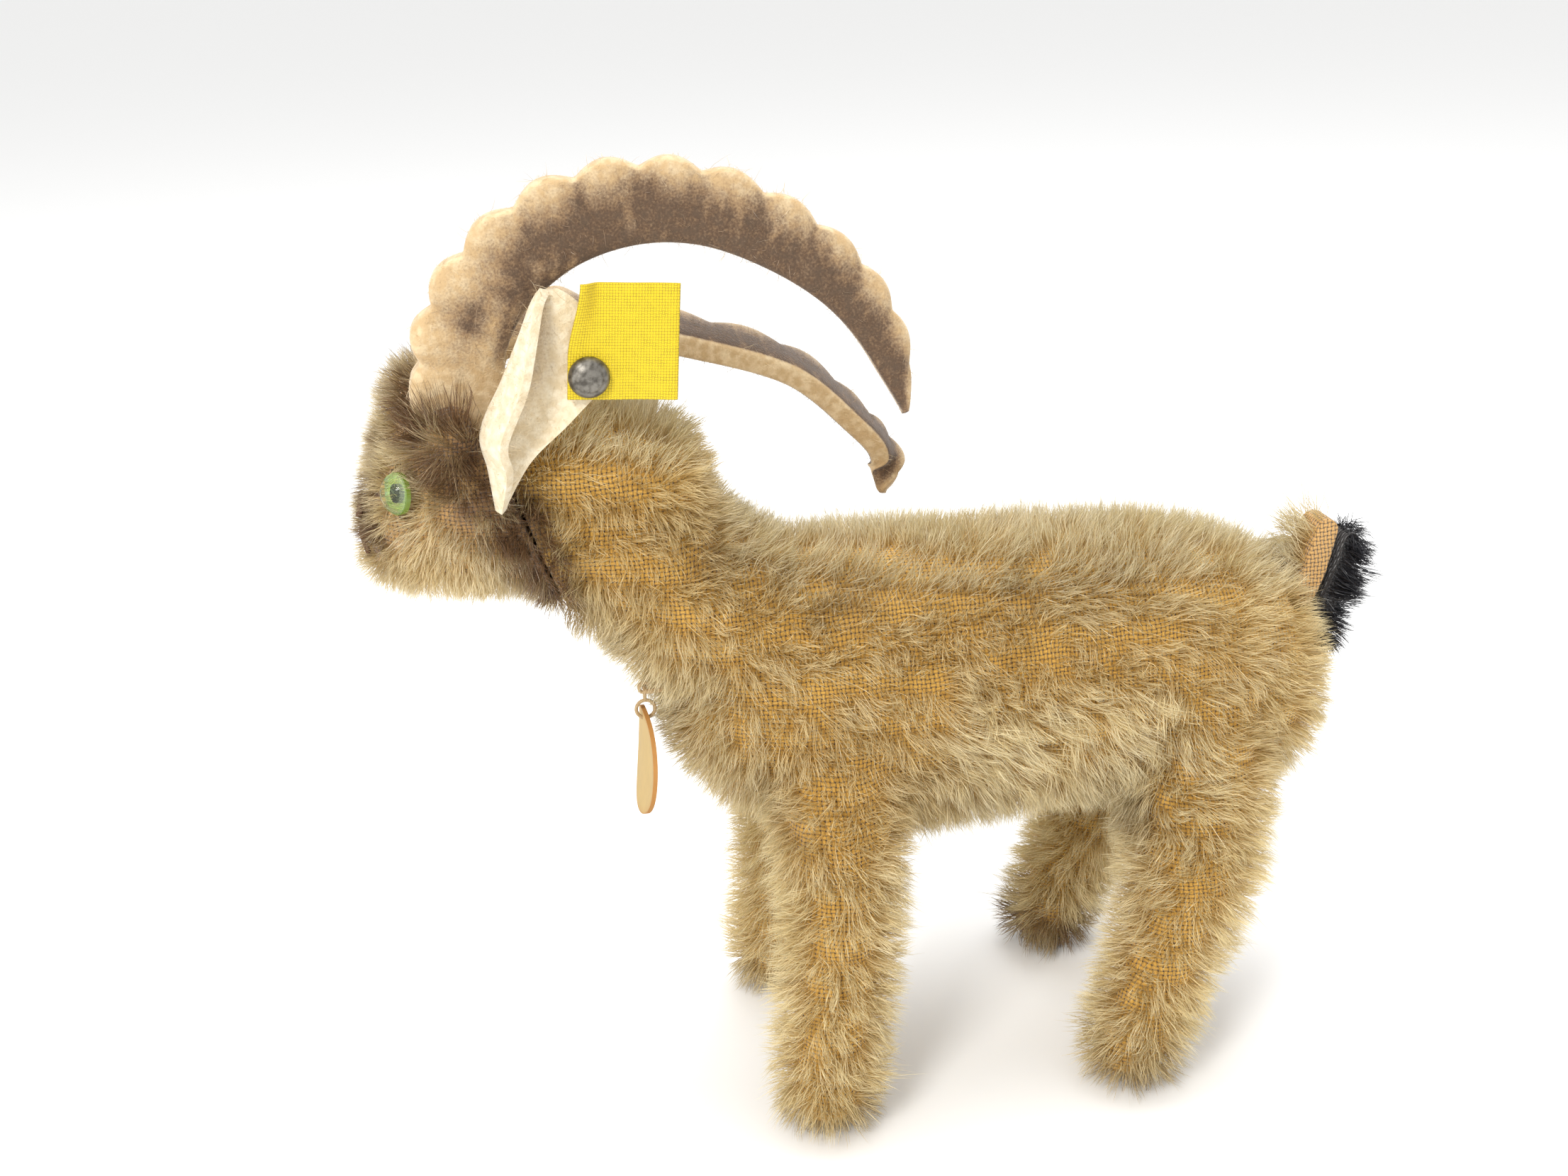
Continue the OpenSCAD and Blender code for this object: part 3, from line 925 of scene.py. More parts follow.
@dataclass
class Coat:
    """The pile of one cloth: its grooms, its airbrush and painted shade, and where its fibres may not go."""

    cloth: bpy.types.Object
    body: str
    finish: Finish
    grooms: Sequence[tuple[Groom, Callable[[np.ndarray, np.ndarray], np.ndarray]]]
    spots: Sequence[Spot]
    regions: Sequence[tuple[str, Callable[[np.ndarray], np.ndarray]]]
    seed: int
    width: float = 0.09
    scatter: float = 0.24
    clump_size: float = 1.3
    patch: float = 4.5  # the size of the places where the pile is thin, in millimetres
    bald: float = 0.75  # how much of the pile is missing there
    limit: Callable[[np.ndarray], np.ndarray] | None = None
    bare: Callable[[np.ndarray, np.ndarray], np.ndarray] | None = None
    obstacles: Sequence[bpy.types.Object] = ()
    most: int = 38000
    levels: tuple[float, ...] = (0.0, 0.36, 0.72, 1.0)
    taper: tuple[float, ...] = (0.85, 1.0, 0.7, 0.0)

    def settings(self, points: np.ndarray, normals: np.ndarray) -> np.ndarray:
        """The grooms' values at each point, blended by their weights."""
        weights = np.stack([weight(points, normals) for _, weight in self.grooms], axis=1)
        rows = np.stack([groom.row() for groom, _ in self.grooms])
        return weights @ rows / weights.sum(axis=1, keepdims=True)

    def roots(self, rng: np.random.Generator) -> tuple[np.ndarray, np.ndarray]:
        """Scatters the fibres' roots over the cloth.

        Args:
            rng: The source of chance.

        Returns:
            The roots and the cloth's normals there.
        """
        mesh = self.cloth.data
        mesh.calc_loop_triangles()
        flat = np.zeros(len(mesh.loop_triangles) * 3, np.int32)
        mesh.loop_triangles.foreach_get("vertices", flat)
        corners = flat.reshape(-1, 3)
        points, normals = points_of(self.cloth), normals_of(self.cloth)
        a, b, c = (points[corners[:, i]] for i in range(3))
        area = np.linalg.norm(np.cross(b - a, c - a), axis=1) / 2
        densest = max(groom.density for groom, _ in self.grooms)
        count = int(area.sum() * densest)
        chosen = rng.choice(len(area), count, p=area / area.sum())
        first, second = rng.random((2, count, 1))
        over = first + second > 1
        first, second = np.where(over, 1 - first, first), np.where(over, 1 - second, second)
        roots = a[chosen] + first * (b - a)[chosen] + second * (c - a)[chosen]
        na, nb, nc = (normals[corners[chosen, i]] for i in range(3))
        facing = unit(na * (1 - first - second) + nb * first + nc * second)
        thin = ripple(roots * np.array([0.6, 1.0, 1.4]), self.patch, self.seed + 7)[:, 0]
        cover = 1 - self.bald * ramp(thin, 0.1, 0.5)
        kept = rng.random(count) < self.settings(roots, facing)[:, 1] / densest * cover
        if self.bare:
            kept &= ~self.bare(roots, facing)
        return roots[kept], facing[kept]

    def lines(self, roots: np.ndarray, facing: np.ndarray, rng: np.random.Generator) -> np.ndarray:
        """Grows the fibres' centre lines.

        Args:
            roots: Their roots.
            facing: The cloth's normals there.
            rng: The source of chance.

        Returns:
            The points of each line: fibre, level, place.
        """
        values = self.settings(roots, facing)
        length = values[:, 0] * rng.normal(1, 0.13, len(roots)).clip(0.55, 1.35)
        comb, lean, clump = values[:, 2:5], values[:, 5], values[:, 6]
        flow = comb * 0.7 + 0.5 * ripple(roots, 9, self.seed + 3) + 0.5 * ripple(roots, 3, self.seed + 4)
        flow -= (flow * facing).sum(1, keepdims=True) * facing
        start = unit(facing + (0.4 * lean)[:, None] * flow + self.scatter * rng.normal(size=roots.shape))
        bend = lean[:, None] * flow * 0.35 + 0.2 * rng.normal(size=roots.shape)
        lines = np.stack(
            [roots + length[:, None] * (start * t + bend * t * t * 0.8) for t in self.levels], axis=1
        )
        share = max(int(len(roots) / (self.clump_size**2 * values[:, 1].mean())), 8)
        guides = rng.choice(len(roots), min(share, len(roots)), replace=False)
        tree = KDTree(len(guides))
        for number, guide in enumerate(guides):
            tree.insert(Vector(lines[guide, 1]), number)
        tree.balance()
        nearest = guides[[tree.find(Vector(p))[1] for p in lines[:, 1]]]
        pull = clump * rng.uniform(0.5, 1.0, len(roots))
        for level, t in enumerate(self.levels):
            share = (pull * t**1.4)[:, None]
            towards = lines[nearest, level] + 0.25 * (lines[:, level] - lines[nearest, level])
            lines[:, level] = lines[:, level] * (1 - share) + towards * share
        rise = ((lines - roots[:, None]) * facing[:, None]).sum(2)
        lines += np.maximum(0.15 * np.array(self.levels) * length[:, None] - rise, 0)[:, :, None] * facing[:, None]
        if self.limit:
            lines = self.limit(lines.reshape(-1, 3)).reshape(lines.shape)
        return lines

    def clear(self, lines: np.ndarray) -> np.ndarray:
        """Which fibres pass through none of the obstacles."""
        kept = np.ones(len(lines), bool)
        for piece in self.obstacles:
            bm = bmesh.new()
            bm.from_mesh(piece.data)
            tree = BVHTree.FromBMesh(bm)
            bm.free()
            low, high = points_of(piece).min(0) - 6, points_of(piece).max(0) + 6
            near = np.flatnonzero(((lines[:, 0] > low) & (lines[:, 0] < high)).all(1))
            for number in near:
                start, end = Vector(lines[number, 0] * MM), Vector(lines[number, -1] * MM)
                if tree.ray_cast(start, end - start, (end - start).length)[0] is not None:
                    kept[number] = False
        return kept

    def grow(self) -> list[bpy.types.Object]:
        """Makes the pile, one piece for each region.

        Returns:
            The pieces.
        """
        rng = np.random.default_rng(self.seed)
        roots, facing = self.roots(rng)
        lines = self.lines(roots, facing, rng)
        kept = self.clear(lines)
        roots, facing, lines = roots[kept], facing[kept], lines[kept]
        values = self.settings(roots, facing)
        spray = sprayed_and_shaded(roots, self.spots, self.seed + 9)
        left = np.ones(len(roots), bool)
        made = []
        for name, where in self.regions:
            chosen = np.flatnonzero(left & where(roots))
            left[chosen] = False
            if len(chosen) > self.most:
                LOG.info("%s: thinned from %d fibres", name, len(chosen))
                chosen = np.sort(rng.choice(chosen, self.most, replace=False))
            if len(chosen):
                made.append(self.fibres(name, lines[chosen], values[chosen], spray[chosen], rng))
        return made

    def fibres(
        self, name: str, lines: np.ndarray, values: np.ndarray, spray: np.ndarray, rng: np.random.Generator
    ) -> bpy.types.Object:
        """Turns centre lines into thin tapered ribbons.

        Args:
            name: The piece's name.
            lines: The centre lines.
            values: The grooms' values at their roots.
            spray: The airbrushed brown and painted shade at their roots.
            rng: The source of chance.

        Returns:
            The piece.
        """
        count, levels = lines.shape[:2]
        along = unit(lines[:, -1] - lines[:, 0])
        side = unit(np.cross(along, rng.normal(size=(count, 3))))
        wide = self.width * rng.uniform(0.75, 1.25, count) / 2
        rows = []
        for level in range(levels - 1):
            shift = side * (wide * self.taper[level])[:, None]
            rows += [lines[:, level] - shift, lines[:, level] + shift]
        rows.append(lines[:, -1])
        points = np.stack(rows, axis=1)
        size = points.shape[1]
        pattern = []
        for level in range(levels - 2):
            a = 2 * level
            pattern += [[a, a + 1, a + 3], [a, a + 3, a + 2]]
        pattern.append([size - 3, size - 2, size - 1])
        faces = (np.array(pattern)[None] + (np.arange(count) * size)[:, None, None]).reshape(-1, 3)
        piece = triangle_piece(name, points.reshape(-1, 3), faces)
        heights = np.repeat(self.levels, 2)[:-1]
        store(piece, "along", np.tile(heights, count))
        store(piece, "shade", np.repeat(rng.random(count), size))
        store(piece, "cream", np.repeat(values[:, 7] * rng.uniform(0.8, 1.15, count), size))
        store(piece, "ash", np.repeat(values[:, 8], size))
        store(piece, "spray", np.repeat(spray, size))
        across = np.array([0.2, 0.8] * (levels - 1) + [0.5])
        strand_map(piece, faces, count, size, across, heights)
        return settle(piece, self.body, self.finish)


def triangle_piece(name: str, points: np.ndarray, faces: np.ndarray) -> bpy.types.Object:
    """Makes a piece of many triangles quickly.

    Args:
        name: The piece's name.
        points: Its points in millimetres.
        faces: Its triangles.

    Returns:
        The piece, smooth shaded.
    """
    mesh = bpy.data.meshes.new(name)
    mesh.vertices.add(len(points))
    mesh.vertices.foreach_set("co", (points * MM).astype(np.float32).ravel())
    mesh.loops.add(faces.size)
    mesh.loops.foreach_set("vertex_index", faces.astype(np.int32).ravel())
    mesh.polygons.add(len(faces))
    mesh.polygons.foreach_set("loop_start", np.arange(0, faces.size, 3, dtype=np.int32))
    mesh.update(calc_edges=True)
    mesh.shade_smooth()
    piece = bpy.data.objects.new(name, mesh)
    bpy.context.scene.collection.objects.link(piece)
    return piece


def strand_map(
    piece: bpy.types.Object, faces: np.ndarray, count: int, size: int, across: np.ndarray, down: np.ndarray
) -> None:
    """Gives each fibre its own small cell of the piece's colour map.

    Args:
        piece: The piece.
        faces: Its triangles.
        count: How many fibres it has.
        size: How many points a fibre has; not used.
        across, down: The places of a fibre's points in its cell, from 0 to 1.
    """
    columns = math.ceil(math.sqrt(count))
    number = np.arange(count)
    u = (number % columns)[:, None] + 0.1 + 0.8 * across
    v = (number // columns)[:, None] + 0.1 + 0.8 * down
    spots = np.stack([u, v], axis=2).reshape(-1, 2) / columns
    layer = piece.data.uv_layers.new(name=BAKE_MAP)
    layer.data.foreach_set("uv", spots[faces.ravel()].astype(np.float32).ravel())


# ---------------------------------------------------------------- the torso


@dataclass
class NeckJoint:
    """The plane between the neck and the head, where the two piles mesh."""

    centre: Point = (-50.0, 0.0, 90.0)
    axis: Point = (0.951057, 0.0, 0.309017)
    room: float = -0.8
    lowest: float = 62.0

    def outside(self, points: np.ndarray, normals: np.ndarray, side: int) -> np.ndarray:
        """How far each point is from belonging to the flat face at the joint.

        Args:
            points: Places in millimetres.
            normals: The directions in which the surface faces there.
            side: 1 for the neck's side and -1 for the head's.

        Returns:
            1 away from the face, down to 0.04 on it.
        """
        away = side * ((points - np.array(self.centre)) @ np.array(self.axis))
        facing = -side * (normals @ np.array(self.axis))
        return 1 - 0.96 * ramp(facing, 0.5, 0.85) * ramp(away, 3.0, 1.5) * (points[:, 2] > self.lowest)

    def beyond(self, points: np.ndarray, side: int) -> np.ndarray:
        """Moves points near the neck that lie past the plane back to it.

        Args:
            points: Places in millimetres.
            side: 1 for the neck's side and -1 for the head's.

        Returns:
            The moved points.
        """
        away = side * ((points - np.array(self.centre)) @ np.array(self.axis))
        past = np.where(points[:, 2] > self.lowest, np.maximum(self.room - away, 0), 0)
        return points + side * past[:, None] * np.array(self.axis)


@dataclass
class Torso:
    """The stuffed trunk, neck and legs in one mohair cloth, with their pile."""

    joint: NeckJoint = field(default_factory=NeckJoint)
    nodes: tuple[str, ...] = (
        "side_panel_left", "side_panel_right", "belly_gusset", "trunk_stuffing", "neck_skin", "neck_stuffing",
        "front_left_leg_skin", "front_right_leg_skin", "rear_left_leg_skin", "rear_right_leg_skin",
        "front_left_leg_stuffing", "front_right_leg_stuffing", "rear_left_leg_stuffing", "rear_right_leg_stuffing",
    )
    filling: tuple[str, ...] = ("neck_disc", "neck_washer", "front_frame_wire", "rear_frame_wire")
    voxel: float = 0.9
    spots: list[Spot] = field(
        default_factory=lambda: both_sides(
            Spot((-24, -12, 87), (-8, -14, 80), 5.0, 0.7),
            Spot((-8, -14, 79), (34, -13, 76), 4.4, 0.4),
            # Painted shade: dark brown along the crease where the neck meets the head.
            Spot((-51, -12, 94), (-47, -8, 78), 3.2, 1.3),
            Spot((-44, -6, 76), (-38, -8, 72), 3.5, 0.4),
            Spot((-24, -13, 51), (-20.5, -18, 46), 3.4, 0.9),
            Spot((2, -17, 49), (10, -13, 43), 4.5, 0.35),
            Spot((28, -15, 44), (33, -13, 40), 4.0, 0.55),
            Spot((-17, -20, 0), (-14, -20, 1), 5.5, 0.85),
            Spot((28, -20, 0), (31, -20, 1.5), 6.5, 0.8),
        )
        + [
            Spot((-40, 0, 104), (-22, 0, 92), 6.0, 0.18),
            Spot((30, 19.6, 0), (31, 19.6, 3), 8.0, 0.95),
        ]
    )

    def depth(self, points: np.ndarray, normals: np.ndarray) -> np.ndarray:
        """How far below the CAD's outer face the cloth lies, which leaves room for the pile.

        Args:
            points: Places on the outer face, in millimetres.
            normals: The directions in which it faces there.

        Returns:
            Depths in millimetres.
        """
        legs = ramp(points[:, 2], 46, 36) * ramp(np.abs(points[:, 1]), 4, 9)
        back = ramp(normals[:, 2], 0.3, 0.8) * ramp(points[:, 2], 62, 70) * ramp(points[:, 0], -24, -16)
        rump = ramp(points[:, 0], 52, 60)
        nape = ramp(points[:, 0], -22, -30) * ramp(points[:, 2], 90, 96) * ramp(normals[:, 2], 0.1, 0.6)
        outside = self.joint.outside(points, normals, 1)
        return ((2.1 + 0.7 * legs) * (1 - 0.4 * back) * (1 - 0.75 * rump * (1 - legs)) - 2.6 * nape) * outside

    def grooms(self) -> list[tuple[Groom, Callable[[np.ndarray, np.ndarray], np.ndarray]]]:
        """The torso's grooms, each with its weight at a point with a normal."""
        legs = lambda p: ramp(p[:, 2], 44, 34) * ramp(np.abs(p[:, 1]), 4, 9)
        return [
            (Groom(4.0, 9.5, (0.3, 0, -0.45), 0.8, 0.75, 0.85), lambda p, n: 0.4 + 0 * p[:, 0]),
            (
                Groom(4.2, 12, (0.3, 0, 0.25), 0.5, 0.5, 1.0, 0.85),
                lambda p, n: 3 * ramp(n[:, 2], 0.45, 0.85) * ramp(p[:, 2], 66, 74),
            ),
            (
                Groom(3.6, 12, (0.5, 0, -0.35), 0.8, 0.8, 0.65),
                lambda p, n: 3 * ramp(p[:, 0], -26, -33) * ramp(p[:, 2], 70, 80) * ramp(n[:, 2], 0.8, 0.4),
            ),
            (
                Groom(4.0, 11, (0, 0, -0.5), 0.6, 0.6, 0.95, 0.6),
                lambda p, n: 3 * ramp(n[:, 0], -0.1, -0.5) * ramp(p[:, 0], -18, -26),
            ),
            (
                Groom(5.2, 11, (0.8, 0, -0.5), 1.2, 0.9, 1.25),
                lambda p, n: 3.5
                * ramp(p[:, 0], 0, 9) * ramp(p[:, 0], 44, 34) * ramp(p[:, 2], 64, 54) * (1 - legs(p)),
            ),
            (
                Groom(4.4, 10, (0.1, 0, -0.5), 0.5, 0.5, 0.95, 0.2),
                lambda p, n: 3 * ramp(n[:, 2], -0.3, -0.75) * ramp(p[:, 2], 34, 38),
            ),
            (Groom(4.9, 11, (0.1, 0, -0.4), 0.7, 0.85, 1.1), lambda p, n: 4 * legs(p)),
            (
                Groom(5.6, 13, (-0.2, 0, -0.5), 0.6, 0.4, 0.9, 0.4),
                lambda p, n: 6 * Spot((-34, -6, 67), (-34, -5, 69), 3.6, 1.0).amount(p),
            ),
            (Groom(3.2, 12, (0, 0, -0.9), 0.6, 0.5, 0.7), lambda p, n: 5 * ramp(p[:, 2], 9, 3)),
        ]

    def limit(self, points: np.ndarray) -> np.ndarray:
        """Keeps the fibres on the neck's side of the joint, above the floor and behind the card."""
        points = self.joint.beyond(points, 1)
        points[:, 2] = np.maximum(points[:, 2], 0.15)
        card = (np.abs(points[:, 1] + 6) < 8.3) & (points[:, 2] > 45.5) & (points[:, 2] < 63.5)
        points[:, 0] = np.where(card, np.maximum(points[:, 0], -35.8), points[:, 0])
        return points

    def build(self) -> bpy.types.Object:
        """Makes the cloth and its pile.

        Returns:
            The cloth.
        """
        cloth = cloth_form("torso_cloth", (*self.nodes, *self.filling), self.voxel, self.depth, 8)
        points = points_of(cloth)
        points[:, 2] = np.maximum(points[:, 2], 0.3)
        place_points(cloth, points)
        store(cloth, "spray", sprayed_and_shaded(points, self.spots, 21))
        settle(cloth, "torso", Finish.CLOTH, self.nodes)
        quarter = lambda x0, x1, side: lambda p: (
            (p[:, 2] < 40) & (p[:, 0] > x0) & (p[:, 0] < x1) & (p[:, 1] * side > 0)
        )
        Coat(
            cloth, "torso", Finish.PILE, self.grooms(), self.spots,
            [
                ("front_left_leg_pile", quarter(-30, 8, -1)),
                ("front_right_leg_pile", quarter(-30, 8, 1)),
                ("rear_left_leg_pile", quarter(12, 70, -1)),
                ("rear_right_leg_pile", quarter(12, 70, 1)),
                ("neck_left_pile", lambda p: (p[:, 0] < -22) & (p[:, 1] <= 0)),
                ("neck_right_pile", lambda p: p[:, 0] < -22),
                ("shoulder_left_pile", lambda p: (p[:, 0] < 16) & (p[:, 1] <= 0)),
                ("shoulder_right_pile", lambda p: p[:, 0] < 16),
                ("rump_left_pile", lambda p: p[:, 1] <= 0),
                ("rump_right_pile", lambda p: p[:, 1] > 0),
            ],
            seed=40, limit=self.limit,
            bare=lambda p, n: self.joint.outside(p, n, 1) < 0.3,
        ).grow()
        return cloth


@dataclass
class Tail:
    """The short tail: a pale leaf in front and a black one behind."""

    front_inset: float = 0.4
    back_inset: float = 0.9

    def build(self) -> None:
        """Makes both leaves and their pile."""
        pale = cloth_form("tail_pale_cloth", ["tail_front"], 0.4, lambda p, n: self.front_inset + 0 * p[:, 0], 4)
        store(pale, "spray", np.zeros(len(pale.data.vertices)))
        settle(pale, "torso", Finish.PALE_CLOTH, ["tail_front"])
        black = cloth_form("tail_black_cloth", ["tail_back"], 0.4, lambda p, n: self.back_inset + 0 * p[:, 0], 4)
        store(black, "spray", np.zeros(len(black.data.vertices)))
        settle(black, "torso", Finish.BLACK_CLOTH, ["tail_back"])
        everywhere = lambda p, n: 1 + 0 * p[:, 0]
        Coat(
            pale, "torso", Finish.PILE, [(Groom(5.4, 15, (-0.4, 0, 0.9), 0.9, 0.6, 0.9, 0.8), everywhere)], [],
            [("tail_pale_pile", lambda p: p[:, 0] > -1e3)], seed=61,
            bare=lambda p, n: (np.abs(n[:, 1]) > 0.45) | (n[:, 0] > 0.2),
        ).grow()
        Coat(
            black, "torso", Finish.BLACK_PILE, [(Groom(3.8, 18, (0.6, 0, -0.3), 0.8, 0.8, 0.5), everywhere)], [],
            [("tail_black_pile", lambda p: p[:, 0] > -1e3)], seed=62, width=0.11, clump_size=1.6,
            bare=lambda p, n: n[:, 0] < -0.45,
        ).grow()


# ---------------------------------------------------------------- the head


@dataclass
class Head:
    """The stuffed head: its mohair cloth and short dense pile."""

    joint: NeckJoint = field(default_factory=NeckJoint)
    nodes: tuple[str, ...] = ("cheek_left", "cheek_right", "head_gusset", "head_stuffing")
    filling: tuple[str, ...] = ("head_disc", "head_washer", "eye_wire")
    eye_room: float = 2.6
    eye_shift: Point = (-0.9, 0.0, 0.0)
    mouth: Point = (-72.0, 4.2, 87.6)
    voxel: float = 0.6
    spots: list[Spot] = field(
        default_factory=lambda: [
            Spot((-66.5, -5, 110), (-61, -10.5, 104.5), 4.2, 1.3),
            Spot((-61, -10.5, 104.5), (-57.5, -13, 97.5), 4.0, 1.4),
            Spot((-58, -12.5, 96), (-55, -13, 92), 3.0, 0.6),
            Spot((-61, 12, 105), (-57, 15, 98), 4.2, 1.3),
            Spot((-64, 0, 111), (-60, 2, 113), 5.5, 0.6),
            Spot((-57, -11, 106), (-53, -12, 104), 3.0, 0.7),
            Spot((-71, 1, 97), (-69, 0, 102), 3.6, 0.75),
            Spot((-71.5, 1, 93), (-70.5, -1, 89), 3.4, 1.0),
            Spot((-67.8, -7, 94), (-67, -7.5, 93.2), 1.9, 1.1),
            Spot((-66, -6, 81), (-61, -8, 79), 2.6, 0.35),
            # Painted shade: dark brown along the crease where the head meets the neck, on both sides.
            Spot((-52.4, -13, 96), (-48.2, -8, 79), 3.6, 1.3),
            Spot((-52.4, 13, 96), (-48.2, 8, 79), 3.6, 1.3),
        ]
    )

    def depth(self, points: np.ndarray, normals: np.ndarray) -> np.ndarray:
        """How far below the CAD's outer face the cloth lies: less round the roots of the horns.

        Args:
            points: Places on the outer face, in millimetres.
            normals: The directions in which it faces there.

        Returns:
            Depths in millimetres.
        """
        return (1.5 - 4.6 * self.crown(points)) * self.joint.outside(points, normals, -1)

    def crown(self, points: np.ndarray) -> np.ndarray:
        """How near each point is to the root of a horn, up to 1."""
        left = Spot((-58, -10.5, 106), (-52, -10.5, 106), 4.2, 1.0).amount(points)
        return left + Spot((-58, 10.5, 106), (-52, 10.5, 106), 4.2, 1.0).amount(points)

    def grooms(self) -> list[tuple[Groom, Callable[[np.ndarray, np.ndarray], np.ndarray]]]:
        """The head's grooms, each with its weight at a point with a normal."""
        return [
            (Groom(3.1, 14, (0.35, 0, -0.5), 0.8, 0.7, 0.85, 0.1), lambda p, n: 0.5 + 0 * p[:, 0]),
            (
                Groom(3.0, 14, (-1.0, 0, -0.2), 1.6, 0.5, 0.8),
                lambda p, n: 8 * Spot((-63, -10, 97), (-62.5, -10.5, 98), 2.6, 1.0).amount(p),
            ),
            (Groom(2.9, 16, (0.3, 0, -0.35), 0.5, 0.4, 0.8, 0.1), lambda p, n: 3 * ramp(p[:, 0], -66, -70)),
            (Groom(3.4, 13, (-0.3, 0, 0.5), 0.5, 0.4, 0.75, 0.5), lambda p, n: 3 * ramp(n[:, 2], 0.3, 0.7)),
            (Groom(3.2, 13, (-0.1, 0, -0.7), 0.6, 0.5, 1.0, 0.1), lambda p, n: 3 * ramp(p[:, 2], 87, 82)),
            (Groom(5.6, 15, (0, 0, 2.2), 1.4, 0.5, 0.5), lambda p, n: 5 * self.crown(p)),
        ]

    def bare(self, points: np.ndarray, normals: np.ndarray) -> np.ndarray:
        """Where no fibre grows: round the eyes, and on the face against the neck."""
        shift = np.array(self.eye_shift)
        eyes = [np.mean(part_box(f"eye_{side}_iris"), axis=0) / MM + shift for side in ("left", "right")]
        near = [np.linalg.norm(points - eye, axis=1) < self.eye_room for eye in eyes]
        mouth = (np.abs(points[:, 2] - self.mouth[2]) < 0.9) & (points[:, 0] < -69.3)
        return near[0] | near[1] | mouth | (self.joint.outside(points, normals, -1) < 0.3)

    def build(self, obstacles: Sequence[bpy.types.Object]) -> bpy.types.Object:
        """Makes the cloth and its pile.

        Args:
            obstacles: Pieces that the pile must not grow through.

        Returns:
            The cloth.
        """
        cloth = cloth_form("head_cloth", (*self.nodes, *self.filling), self.voxel, self.depth, 8)
        store(cloth, "spray", sprayed_and_shaded(points_of(cloth), self.spots, 22))
        settle(cloth, "head", Finish.PALE_CLOTH, self.nodes)
        Coat(
            cloth, "head", Finish.FACE_PILE, self.grooms(), self.spots,
            [("head_left_pile", lambda p: p[:, 1] <= 2), ("head_right_pile", lambda p: p[:, 1] > 2)],
            seed=50, width=0.08, clump_size=0.9, bare=self.bare, obstacles=obstacles,
            limit=lambda p: self.joint.beyond(p, -1),
        ).grow()
        return cloth


